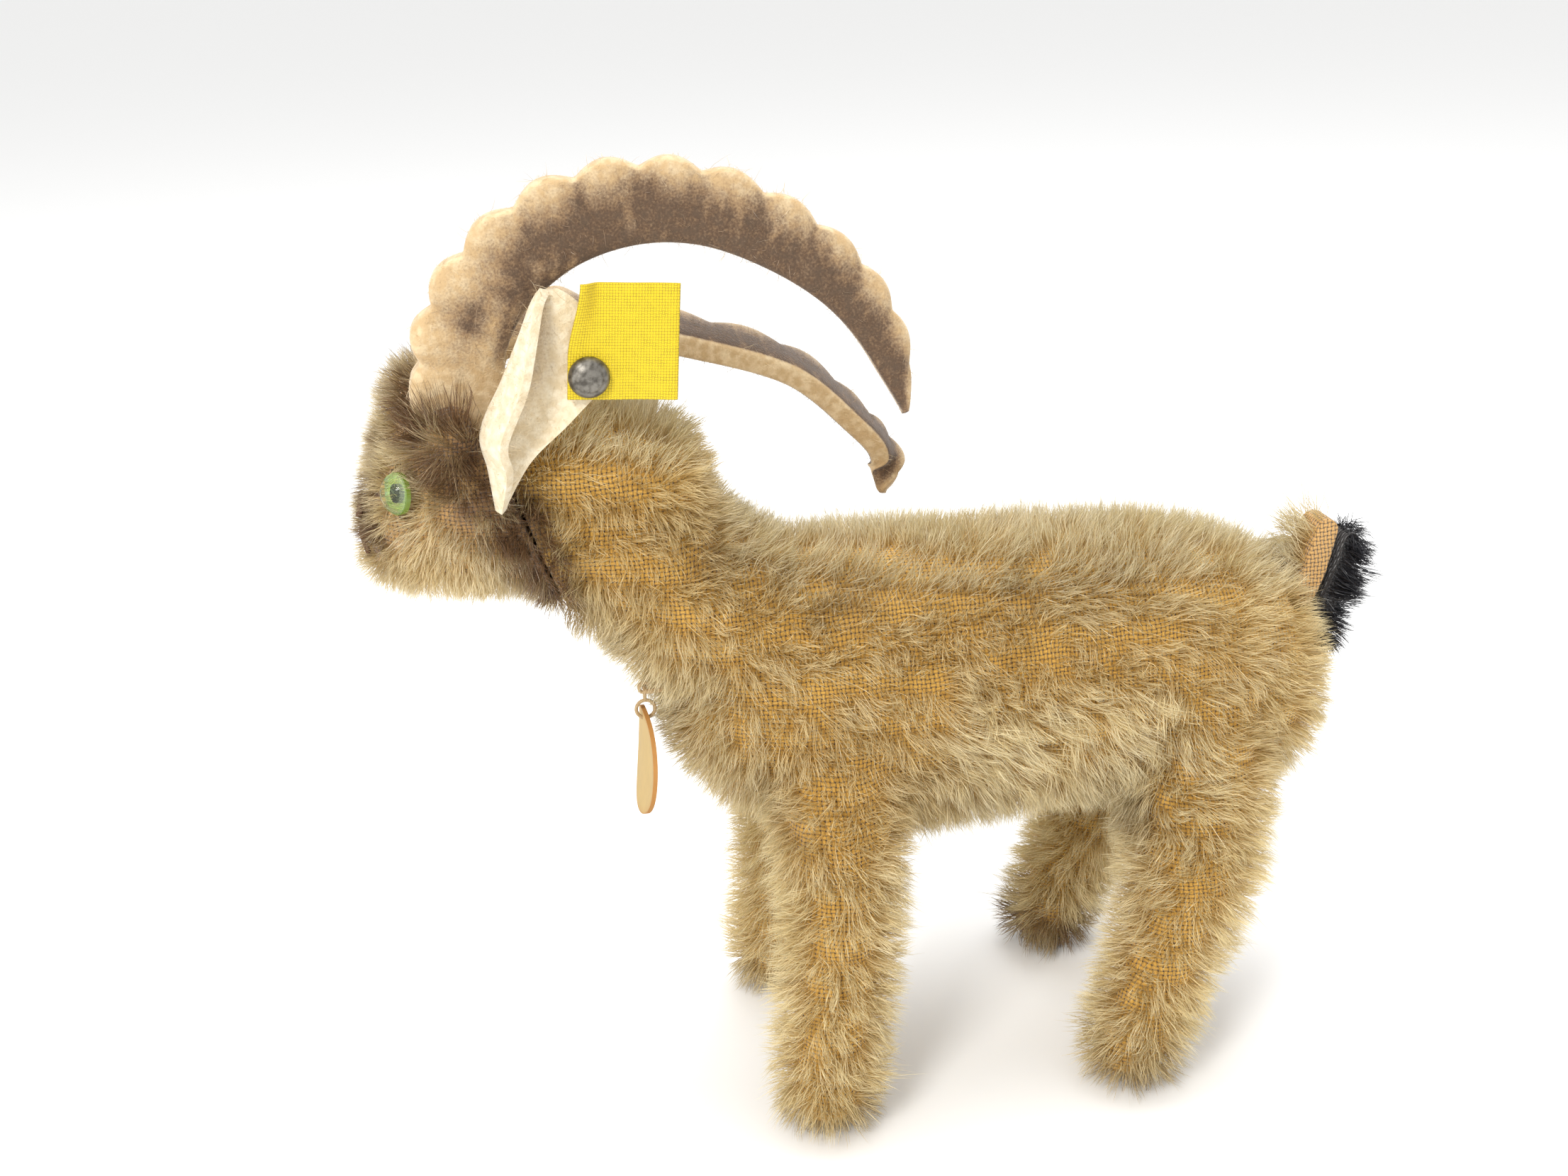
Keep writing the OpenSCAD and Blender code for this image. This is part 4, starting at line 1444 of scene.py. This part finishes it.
@dataclass
class Horn:
    """A wired felt horn: a sickle with a scalloped outer edge and a puffed middle."""

    name: str
    side: int
    path: Sequence[Point]
    faces: tuple[Point, Point]
    width: float = 12.2
    thickness: float = 4.4
    scallops: int = 13
    stations: int = 338
    ring: int = 36
    softness: float = 0.4
    pale_edge: float = 0.0
    root: float = 4.0

    def along(self, share: np.ndarray) -> np.ndarray:
        """The centre line at shares of its length from base to tip."""
        path = np.array(self.path)
        last = len(path) - 1
        number = np.minimum((share * last).astype(int), last - 1)
        t = (share * last - number)[:, None]
        a, b, c, d = (path[np.clip(number + k, 0, last)] for k in (-1, 0, 1, 2))
        return 0.5 * (2 * b + (c - a) * t + (2 * a - 5 * b + 4 * c - d) * t**2 + (3 * b - a - 3 * c + d) * t**3)

    def taper(self, share: np.ndarray) -> np.ndarray:
        """The horn's relative width."""
        angle = np.minimum(95 + 85 * share, 179) - 90 * np.maximum(0, 0.12 - share)
        return np.sin(np.radians(angle)) ** 0.4 * (1 - 0.55 * ramp(share, 0.9, 1.0))

    def lobes(self, share: np.ndarray) -> np.ndarray:
        """The scallops, from 0 in a notch to 1 on a crest."""
        return np.sqrt(np.sin(np.pi * self.scallops * share) ** 2 + 0.004)

    def build(self) -> bpy.types.Object:
        """Makes the horn, its colours and its fuzz.

        Returns:
            The horn.
        """
        share = np.linspace(0, 1, self.stations)
        centre = self.along(share)
        t = unit(self.along(np.minimum(share + 0.01, 1)) - self.along(np.maximum(share - 0.01, 0)))
        centre -= self.root * (1 - share / 0.06).clip(0, 1)[:, None] * t
        first, last = np.array(self.faces[0]), np.array(self.faces[1])
        face = first + (last - first) * np.minimum(1, share * 2.5)[:, None]
        across = self.side * unit(np.cross(t, face))
        out = self.side * np.cross(across, t)
        lobes = self.lobes(share)
        inner = np.maximum(self.width * 0.46 * self.taper(share), 0.35)
        bumps = 0.45 + (0.14 * lobes - 0.04) * ramp(share, 1.0, 0.88)
        outer = np.maximum(self.width * bumps * self.taper(share), 0.35)
        tip = np.sqrt(np.clip(1 - ((share - 0.97) / 0.03).clip(0, 1) ** 2, 0.04, 1))
        half = self.thickness / 2 * (1 - 0.3 * share) * tip
        angle = np.linspace(0, 2 * np.pi, self.ring, endpoint=False)
        cos, sin = np.cos(angle), np.sin(angle)
        flank = np.sign(cos) * np.abs(cos) ** self.softness
        rise = np.sign(sin) * np.abs(sin) ** self.softness
        span = np.where(flank >= 0, flank * outer[:, None], flank * inner[:, None])
        puff = 1 + 0.3 * (lobes[:, None] - 0.7) * ramp(flank, -0.2, 0.9) * np.abs(rise)
        puff = puff * (1 + 0.1 * ramp(np.abs(flank), 1.0, 0.3))
        lift = half[:, None] * rise * puff
        rings = centre[:, None] + span[:, :, None] * across[:, None] + lift[:, :, None] * out[:, None]
        horn = loft(f"{self.name}_shell", rings)
        store(horn, "spray", self.spray(np.repeat(share, self.ring), np.tile(flank, len(share)), points_of(horn)))
        nodes = [f"{self.name}_outer_felt", f"{self.name}_inner_felt", f"{self.name}_core"]
        settle(horn, "head", Finish.HORN, nodes)
        Fuzz(horn, f"{self.name}_fuzz", 5200, 71 + self.side).build()
        return horn

    def spray(self, share: np.ndarray, flank: np.ndarray, points: np.ndarray) -> np.ndarray:
        """The airbrushed brown: over the middle, with streaks towards the notches.

        Args:
            share: How far from base to tip each point is.
            flank: How far out it is, from -1 on the inner edge to 1 on the scalloped one.
            points: The points in millimetres.

        Returns:
            Amounts from 0 to 1.
        """
        notch = 1 - np.minimum(self.lobes(share), 1)
        band = 0.25 + 0.75 * ramp(flank, 0.9, -0.1)
        streak = 0.35 * notch * ramp(flank, -0.2, 0.3)
        late = ramp(share, 0.12, 0.4)
        cloud = (0.4 - 0.2 * late) * ripple(points, 6, 31)[:, 0] + 0.16 * ripple(points, 1.6, 32)[:, 0]
        edges = ramp(flank, 1.0, 0.86) * ramp(flank, -1.02 + self.pale_edge, -0.96 + self.pale_edge)
        tip = 1 - self.pale_edge * 6 * ramp(share, 0.9, 1.0)
        run = ramp(share, 0.02, 0.14) * (0.62 + 0.48 * late + cloud) * tip
        return np.clip((band + streak) * run * edges, 0, 1)


@dataclass
class Fuzz:
    """Stray wool fibres that stand off a felt surface."""

    felt: bpy.types.Object
    name: str
    count: int
    seed: int
    length: float = 0.85
    width: float = 0.045

    def build(self) -> None:
        """Makes the fibres as one piece."""
        everywhere = lambda p, n: 1 + 0 * p[:, 0]
        points = points_of(self.felt)
        area = sum(face.area for face in self.felt.data.polygons) / MM**2
        values = np.zeros(len(points), np.float32)
        self.felt.data.attributes["spray"].data.foreach_get("value", values)
        tree = KDTree(len(points))
        for number, point in enumerate(points):
            tree.insert(Vector(point), number)
        tree.balance()
        coat = Coat(
            self.felt, self.felt["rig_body"], Finish.FUZZ,
            [(Groom(self.length, self.count / area, (0, 0, 0), 1.0, 0.0, 0.9), everywhere)], [], [],
            seed=self.seed, width=self.width, clump_size=4.0,
        )
        rng = np.random.default_rng(self.seed)
        roots, facing = coat.roots(rng)
        length = self.length * rng.exponential(0.6, len(roots)).clip(0.15, 2.4)
        way = unit(facing * 0.6 + rng.normal(size=roots.shape) * 0.6)
        bend = rng.normal(size=roots.shape) * 0.7
        lines = np.stack(
            [roots + length[:, None] * (way * t + bend * t * t * 0.6) for t in coat.levels], axis=1
        )
        brown = values[[tree.find(Vector(p))[1] for p in roots]]
        coat.fibres(self.name, lines, coat.settings(roots, facing), brown * 0.8, rng)


HORN_LEFT = Horn(
    "horn_left", -1,
    [
        (-57, -7, 109), (-56.4, -8, 116), (-52.2, -9.5, 123.6), (-44.2, -11, 129.8), (-34.6, -12, 132.4),
        (-25, -13, 131.4), (-15.6, -13.5, 126.8), (-8, -13.5, 120.4), (-3, -13, 112.4), (-0.4, -12.5, 103),
    ],
    ((0, -1, 0.1), (0, -1, 0)),
)
HORN_RIGHT = Horn(
    "horn_right", 1,
    [
        (-57, 7, 108), (-54.5, 8.5, 113.4), (-47.5, 11, 114.6), (-39, 13.5, 113), (-25.5, 17, 109),
        (-9.5, 20, 102.4), (1, 22, 92.6), (5.2, 22.8, 86.6), (5, 23, 80.5),
    ],
    ((0.1, 0.9, -0.5), (0, 0.25, -1)),
    pale_edge=0.1,
)


@dataclass
class Ear:
    """A cupped leaf of felt, folded along its spine."""

    name: str
    mirrored: bool
    stations: tuple[tuple[Point, Point, Point], ...] = (
        ((-53.4, -14.6, 95.4), (-54.2, -14.2, 95.8), (-53, -14.4, 96.2)),
        ((-52.4, -18.2, 101), (-55.6, -14.2, 101.4), (-49.6, -14.8, 101.6)),
        ((-52.8, -19.8, 105.4), (-56.8, -12.6, 106.2), (-43.8, -14.7, 106.6)),
        ((-49.8, -20, 112), (-53.8, -12.8, 112.2), (-38.6, -14.8, 112.4)),
        ((-48.2, -19, 117.6), (-50.6, -14, 117.4), (-39.6, -14.9, 118)),
        ((-47, -17.6, 121.8), (-48, -15.2, 121.6), (-42.6, -14.9, 122)),
        ((-46, -16.4, 123.4), (-46.4, -15.4, 123.2), (-44.6, -15, 123.4)),
    )
    thick: float = 1.2
    rows: int = 44
    columns: int = 27
    fold_pull: float = 2.6

    def grid(self) -> np.ndarray:
        """The felt's middle surface: row, column, place."""
        stations = np.array(self.stations)
        last = len(stations) - 1
        share = np.linspace(0, last, self.rows)
        number = np.minimum(share.astype(int), last - 1)
        t = (share - number)[:, None, None]
        a, b, c, d = (stations[np.clip(number + k, 0, last)] for k in (-1, 0, 1, 2))
        lines = 0.5 * (2 * b + (c - a) * t + (2 * a - 5 * b + 4 * c - d) * t**2 + (3 * b - a - 3 * c + d) * t**3)
        s = np.linspace(0, 1, self.columns)
        weights = np.stack([(1 - s) ** 2, 2 * s * (1 - s) * self.fold_pull, s**2])
        weights /= weights.sum(0)
        return np.einsum("ks,rkx->rsx", weights, lines)

    def placed(self, points: np.ndarray) -> np.ndarray:
        """The points where this ear is: the right one is mirrored, laid back and turned outwards."""
        if not self.mirrored:
            return points
        flipped = points * np.array([1, -1, 1])
        turn = np.array(Matrix.Rotation(math.radians(38), 3, "Y") @ Matrix.Rotation(math.radians(-14), 3, "X"))
        root = np.array([-54, 14.6, 95.4])
        return (flipped - root) @ turn.T + np.array([-54, 14.6, 89.5])

    def build(self) -> bpy.types.Object:
        """Makes the ear, its colours and its fuzz.

        Returns:
            The ear.
        """
        grid = self.grid()
        rows, columns = grid.shape[:2]
        row, column = np.meshgrid(np.linspace(0, 1, rows), np.linspace(-1, 1, columns), indexing="ij")
        points = self.placed(grid.reshape(-1, 3))
        faces = [
            [i * columns + j, i * columns + j + 1, (i + 1) * columns + j + 1, (i + 1) * columns + j]
            for i in range(rows - 1)
            for j in range(columns - 1)
        ]
        ear = mesh_piece(f"{self.name}_leaf", points, faces)
        # Brown inside the cup along the fold: partly airbrush, partly painted shade in the hollow and under the
        # label.
        inside = 0.6 * ramp(np.abs(column - 0.3), 0.6, 0.1) * ramp(row, 0.15, 0.5) * ramp(row, 1.0, 0.85)
        store(ear, "spray", inside.ravel())
        apply_modifier(ear, "SOLIDIFY", thickness=self.thick * MM, offset=0.0)
        apply_modifier(ear, "BEVEL", width=0.35 * MM, segments=3, limit_method="ANGLE", angle_limit=math.radians(50))
        ear.data.shade_smooth()
        settle(ear, "head", Finish.EAR, [self.name])
        Fuzz(ear, f"{self.name}_fuzz", 2200, 81 + self.mirrored).build()
        return ear


# ---------------------------------------------------------------- eyes, tags and trim


@dataclass
class Eyes:
    """Dresses the glass eyes' CAD parts."""

    def build(self) -> None:
        """Gives each iris its own enamel, ringed round its centre, and the rest its glass and black."""
        for side in ("left", "right"):
            low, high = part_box(f"eye_{side}_iris")
            centre = (low + high) / 2
            radius = max(high - low) / 2
            recipe = EyeEnamel(f"eye_enamel_{side}", tuple(centre), radius)
            node = frame["nodes"][f"eye_{side}_iris"]
            WARDROBE.dress(node, Finish.GLASS, recipe)
            WARDROBE.dress(frame["nodes"][f"eye_{side}_glass"], Finish.GLASS)
            WARDROBE.dress(frame["nodes"][f"eye_{side}_pupil"], Finish.PUPIL)


@dataclass
class Button:
    """The blank domed rivet on the left ear."""

    centre: Point = (-41.6, -16.0, 112.4)
    radius: float = 2.6
    rise: float = 1.5
    base: float = 0.9
    segments: int = 64

    def build(self) -> bpy.types.Object:
        """Makes the rivet from a squashed ball with a rolled rim.

        Returns:
            The rivet.
        """
        x, y, z = self.centre
        bpy.ops.object.select_all(action="DESELECT")
        bpy.ops.mesh.primitive_uv_sphere_add(
            segments=self.segments, ring_count=32, radius=self.radius * MM,
            location=(x * MM, (y - self.base) * MM, z * MM), rotation=(math.radians(90), 0, 0),
        )
        rivet = bpy.context.object
        rivet.name = rivet.data.name = "ear_rivet"
        bpy.ops.object.transform_apply(location=True, rotation=True, scale=True)
        points = points_of(rivet)
        away = np.hypot(points[:, 0] - x, points[:, 2] - z) / self.radius
        front = points[:, 1] < y - self.base - 0.01
        dome = self.rise * np.sqrt(np.clip(1 - away**2.6, 0, 1)) * (1 - 0.1 * np.exp(-((away - 0.72) / 0.06) ** 2))
        points[:, 1] = np.where(front, y - self.base - dome, y - self.base + 0.12)
        place_points(rivet, points)
        bpy.ops.object.select_all(action="DESELECT")
        bpy.ops.mesh.primitive_cylinder_add(
            vertices=32, radius=0.94 * MM, depth=3.4 * MM,
            location=(x * MM, (y + 0.9) * MM, z * MM), rotation=(math.radians(90), 0, 0),
        )
        shank = bpy.context.object
        bpy.ops.object.transform_apply(location=True, rotation=True, scale=True)
        bpy.ops.object.mode_set(mode="EDIT")
        bpy.ops.mesh.bevel(offset=0.1 * MM, segments=2)
        bpy.ops.object.mode_set(mode="OBJECT")
        only(rivet)
        shank.select_set(True)
        bpy.ops.object.join()
        rivet.data.shade_smooth()
        return settle(rivet, "head", Finish.BUTTON, ["ear_button"])


@dataclass
class Flag:
    """The folded cloth label under the rivet, left blank."""

    corner: Point = (-2.6, -2.9, 0.0)
    width: float = 13.8
    height: float = 14.6
    lean: float = -5.0
    gap: float = 0.34
    steps: int = 64
    centre: Point = (-41.6, -16.0, 112.4)

    def build(self) -> bpy.types.Object:
        """Makes the label: one strip folded double at its far edge.

        Returns:
            The label.
        """
        run = np.linspace(0, 2 * self.width, 2 * self.steps)
        rise = np.linspace(0, self.height, self.steps)
        u, v = np.meshgrid(run, rise, indexing="ij")
        over = ramp(u, self.width - 0.6, self.width + 0.6)
        x = np.where(u < self.width, u, 2 * self.width - u)
        depth = 0.1 + self.gap * (1 - over)
        curl = ramp(x, 4.0, 0) * ramp(v, 5.0, self.height)
        right = ramp(x, self.width - 4, self.width)
        depth = depth + 1.6 * curl + 0.12 * np.sin(x * 0.55 + v * 0.3) * ramp(x, 4.5, 9) + 0.15 * right
        flat = np.stack([x + 1.3 * curl + self.corner[0], v + self.corner[1], depth], axis=2).reshape(-1, 3)
        turn = math.radians(self.lean)
        spun = flat @ np.array(
            [[math.cos(turn), math.sin(turn), 0], [-math.sin(turn), math.cos(turn), 0], [0, 0, 1]]
        )
        cx, cy, cz = self.centre
        points = np.stack([cx + spun[:, 0], cy - 0.15 - spun[:, 2], cz + spun[:, 1]], axis=1)
        rows, columns = len(run), len(rise)
        faces = [
            [i * columns + j, (i + 1) * columns + j, (i + 1) * columns + j + 1, i * columns + j + 1]
            for i in range(rows - 1)
            for j in range(columns - 1)
        ]
        label = mesh_piece("flag_label", points, faces)
        layer = label.data.uv_layers.new(name="cut")
        index = np.zeros(len(label.data.loops), np.int32)
        label.data.loops.foreach_get("vertex_index", index)
        cut = np.stack([u.ravel(), v.ravel()], axis=1)
        layer.data.foreach_set("uv", cut[index].astype(np.float32).ravel())
        apply_modifier(label, "SOLIDIFY", thickness=0.16 * MM, offset=0.0)
        settle(label, "flag", Finish.FLAG, ["ear_flag"])
        2 * self.width * MM
        return label


@dataclass
class ChestCard:
    """The round card on the chest, slightly warped and worn at its edge."""

    stitch: Point = (-36.5, -6.0, 65.4)
    radius: float = 7.6
    thick: float = 0.6
    drop: float = 3.2

    def build(self) -> bpy.types.Object:
        """Makes the card.

        Returns:
            The card.
        """
        x, y, z = self.stitch
        middle = (x, y, z - self.drop - self.radius)
        bpy.ops.object.select_all(action="DESELECT")
        bpy.ops.mesh.primitive_cylinder_add(
            vertices=96, radius=self.radius * MM, depth=self.thick * MM, end_fill_type="NGON",
            location=[c * MM for c in middle], rotation=(0, math.radians(90), 0),
        )
        card = bpy.context.object
        card.name = card.data.name = "card_disc"
        bpy.ops.object.transform_apply(location=True, rotation=True, scale=True)
        bpy.ops.object.mode_set(mode="EDIT")
        bpy.ops.mesh.select_mode(type="FACE")
        bpy.ops.mesh.select_all(action="DESELECT")
        bpy.ops.object.mode_set(mode="OBJECT")
        for face in card.data.polygons:
            face.select = abs(face.normal.x) > 0.9
        bpy.ops.object.mode_set(mode="EDIT")
        for step in (0.25, 0.9, 0.35):
            bpy.ops.mesh.inset(thickness=step * MM, depth=(-0.05 if step == 0.35 else 0) * MM)
        for _ in range(3):
            bpy.ops.mesh.inset(thickness=1.4 * MM, depth=0)
        bpy.ops.object.mode_set(mode="OBJECT")
        points = points_of(card)
        away = np.hypot(points[:, 1] - middle[1], points[:, 2] - middle[2])
        store(card, "rim", ramp(away, self.radius - 0.35, self.radius - 0.05))
        down = (z - self.drop - points[:, 2]) / (2 * self.radius)
        points[:, 0] += -1.5 * down**2 + 0.25 * np.sin(points[:, 1] * 0.35)
        place_points(card, points)
        card.data.shade_smooth()
        only(card)
        bpy.ops.object.shade_smooth_by_angle(angle=math.radians(35))
        return settle(card, "card", Finish.CARD, ["chest_card"])


@dataclass
class Trim:
    """Gives every CAD part that stays in view or inside its finish."""

    finishes: dict[str, Finish] = field(
        default_factory=lambda: {
            "neck_disc": Finish.FIBREBOARD, "head_disc": Finish.FIBREBOARD,
            "neck_washer": Finish.STEEL, "head_washer": Finish.STEEL, "cotter_pin": Finish.STEEL,
            "front_frame_wire": Finish.STEEL, "rear_frame_wire": Finish.STEEL, "eye_wire": Finish.STEEL,
            "horn_left_wire": Finish.STEEL, "horn_right_wire": Finish.STEEL,
            "ear_button_washer": Finish.BUTTON,
            "closing_stitches": Finish.THREAD,
            "chest_stitch": Finish.PALE_THREAD, "chest_thread": Finish.PALE_THREAD,
            "nose_stitches": Finish.THREAD, "mouth_stitches": Finish.THREAD,
        }
    )

    def build(self) -> None:
        """Dresses the parts."""
        for name, finish in self.finishes.items():
            WARDROBE.dress(frame["nodes"][name], finish)


# ---------------------------------------------------------------- studio


@dataclass
class Studio:
    """The camera, the floor and the soft lights."""

    eye: Point = (-60.2, -245.1, 169.65)
    yaw: float = 10.4
    pitch: float = 20.7
    roll: float = -2.46
    lens: float = 43.45

    def camera(self) -> None:
        """Places the camera at three-quarter height, looking down at the toy's left side."""
        yaw, pitch, roll = (math.radians(a) for a in (self.yaw, self.pitch, self.roll))
        look = Vector((math.sin(yaw) * math.cos(pitch), math.cos(yaw) * math.cos(pitch), -math.sin(pitch)))
        right = Vector((math.cos(yaw), -math.sin(yaw), 0))
        up = right.cross(look)
        across = right * math.cos(roll) + up * math.sin(roll)
        over = up * math.cos(roll) - right * math.sin(roll)
        data = bpy.data.cameras.new("camera")
        data.lens, data.sensor_width = self.lens, 36.0
        data.clip_start, data.clip_end = 0.01, 90.0
        camera = bpy.data.objects.new("camera", data)
        camera.matrix_world = Matrix(
            [(across[i], over[i], -look[i], self.eye[i] * MM) for i in range(3)] + [(0, 0, 0, 1)]
        )
        bpy.context.scene.collection.objects.link(camera)
        bpy.context.scene.camera = camera

    def softbox(self, name: str, place: Point, aim: Point, size: float, power: float, colour: Colour) -> None:
        """Hangs one square soft light.

        Args:
            name: The light's name.
            place: Where it hangs, in metres.
            aim: What it points at, in metres.
            size: The length of its sides, in metres.
            power: Its power in watts.
            colour: Its colour.
        """
        data = bpy.data.lights.new(name, "AREA")
        data.energy, data.size, data.color = power, size, colour[:3]
        light = bpy.data.objects.new(name, data)
        light.location = place
        light.rotation_euler = (Vector(aim) - Vector(place)).to_track_quat("-Z", "Y").to_euler()
        bpy.context.scene.collection.objects.link(light)

    def floor(self) -> None:
        """Lays a plain pale floor."""
        bpy.ops.object.select_all(action="DESELECT")
        bpy.ops.mesh.primitive_plane_add(size=60.0, location=(0, 0, -0.0002))
        floor = bpy.context.object
        floor.name = "floor"
        paint = Paint("floor")
        floor.data.materials.append(paint.finish(Base_Color=tone(250, 250, 249), Roughness=0.9))

    def build(self) -> None:
        """Sets up the whole studio."""
        self.camera()
        self.floor()
        world = bpy.data.worlds.new("studio")
        world.use_nodes = True
        backdrop = world.node_tree.nodes["Background"]
        backdrop.inputs["Color"].default_value = (1, 1, 1, 1)
        backdrop.inputs["Strength"].default_value = 0.9
        bpy.context.scene.world = world
        bpy.context.scene.view_settings.view_transform = "Standard"
        middle = (-0.01, 0.0, 0.07)
        self.softbox("key", (-0.4, -0.55, 0.6), middle, 0.22, 4.6, (1.0, 0.98, 0.95, 1))
        self.softbox("top", (0.1, 0.15, 0.8), middle, 0.5, 3.4, (0.97, 0.98, 1.0, 1))


def main() -> None:
    """Builds the toy piece by piece."""
    logging.basicConfig(level=logging.INFO, format="%(name)s %(message)s")
    Studio().build()
    Trim().build()
    Eyes().build()
    horns = [HORN_LEFT.build(), HORN_RIGHT.build()]
    ears = [Ear("ear_left", False).build(), Ear("ear_right", True).build()]
    Button().build()
    Flag().build()
    ChestCard().build()
    Head().build([*horns, *ears])
    Torso().build()
    Tail().build()


if __name__ == "__main__":
    main()
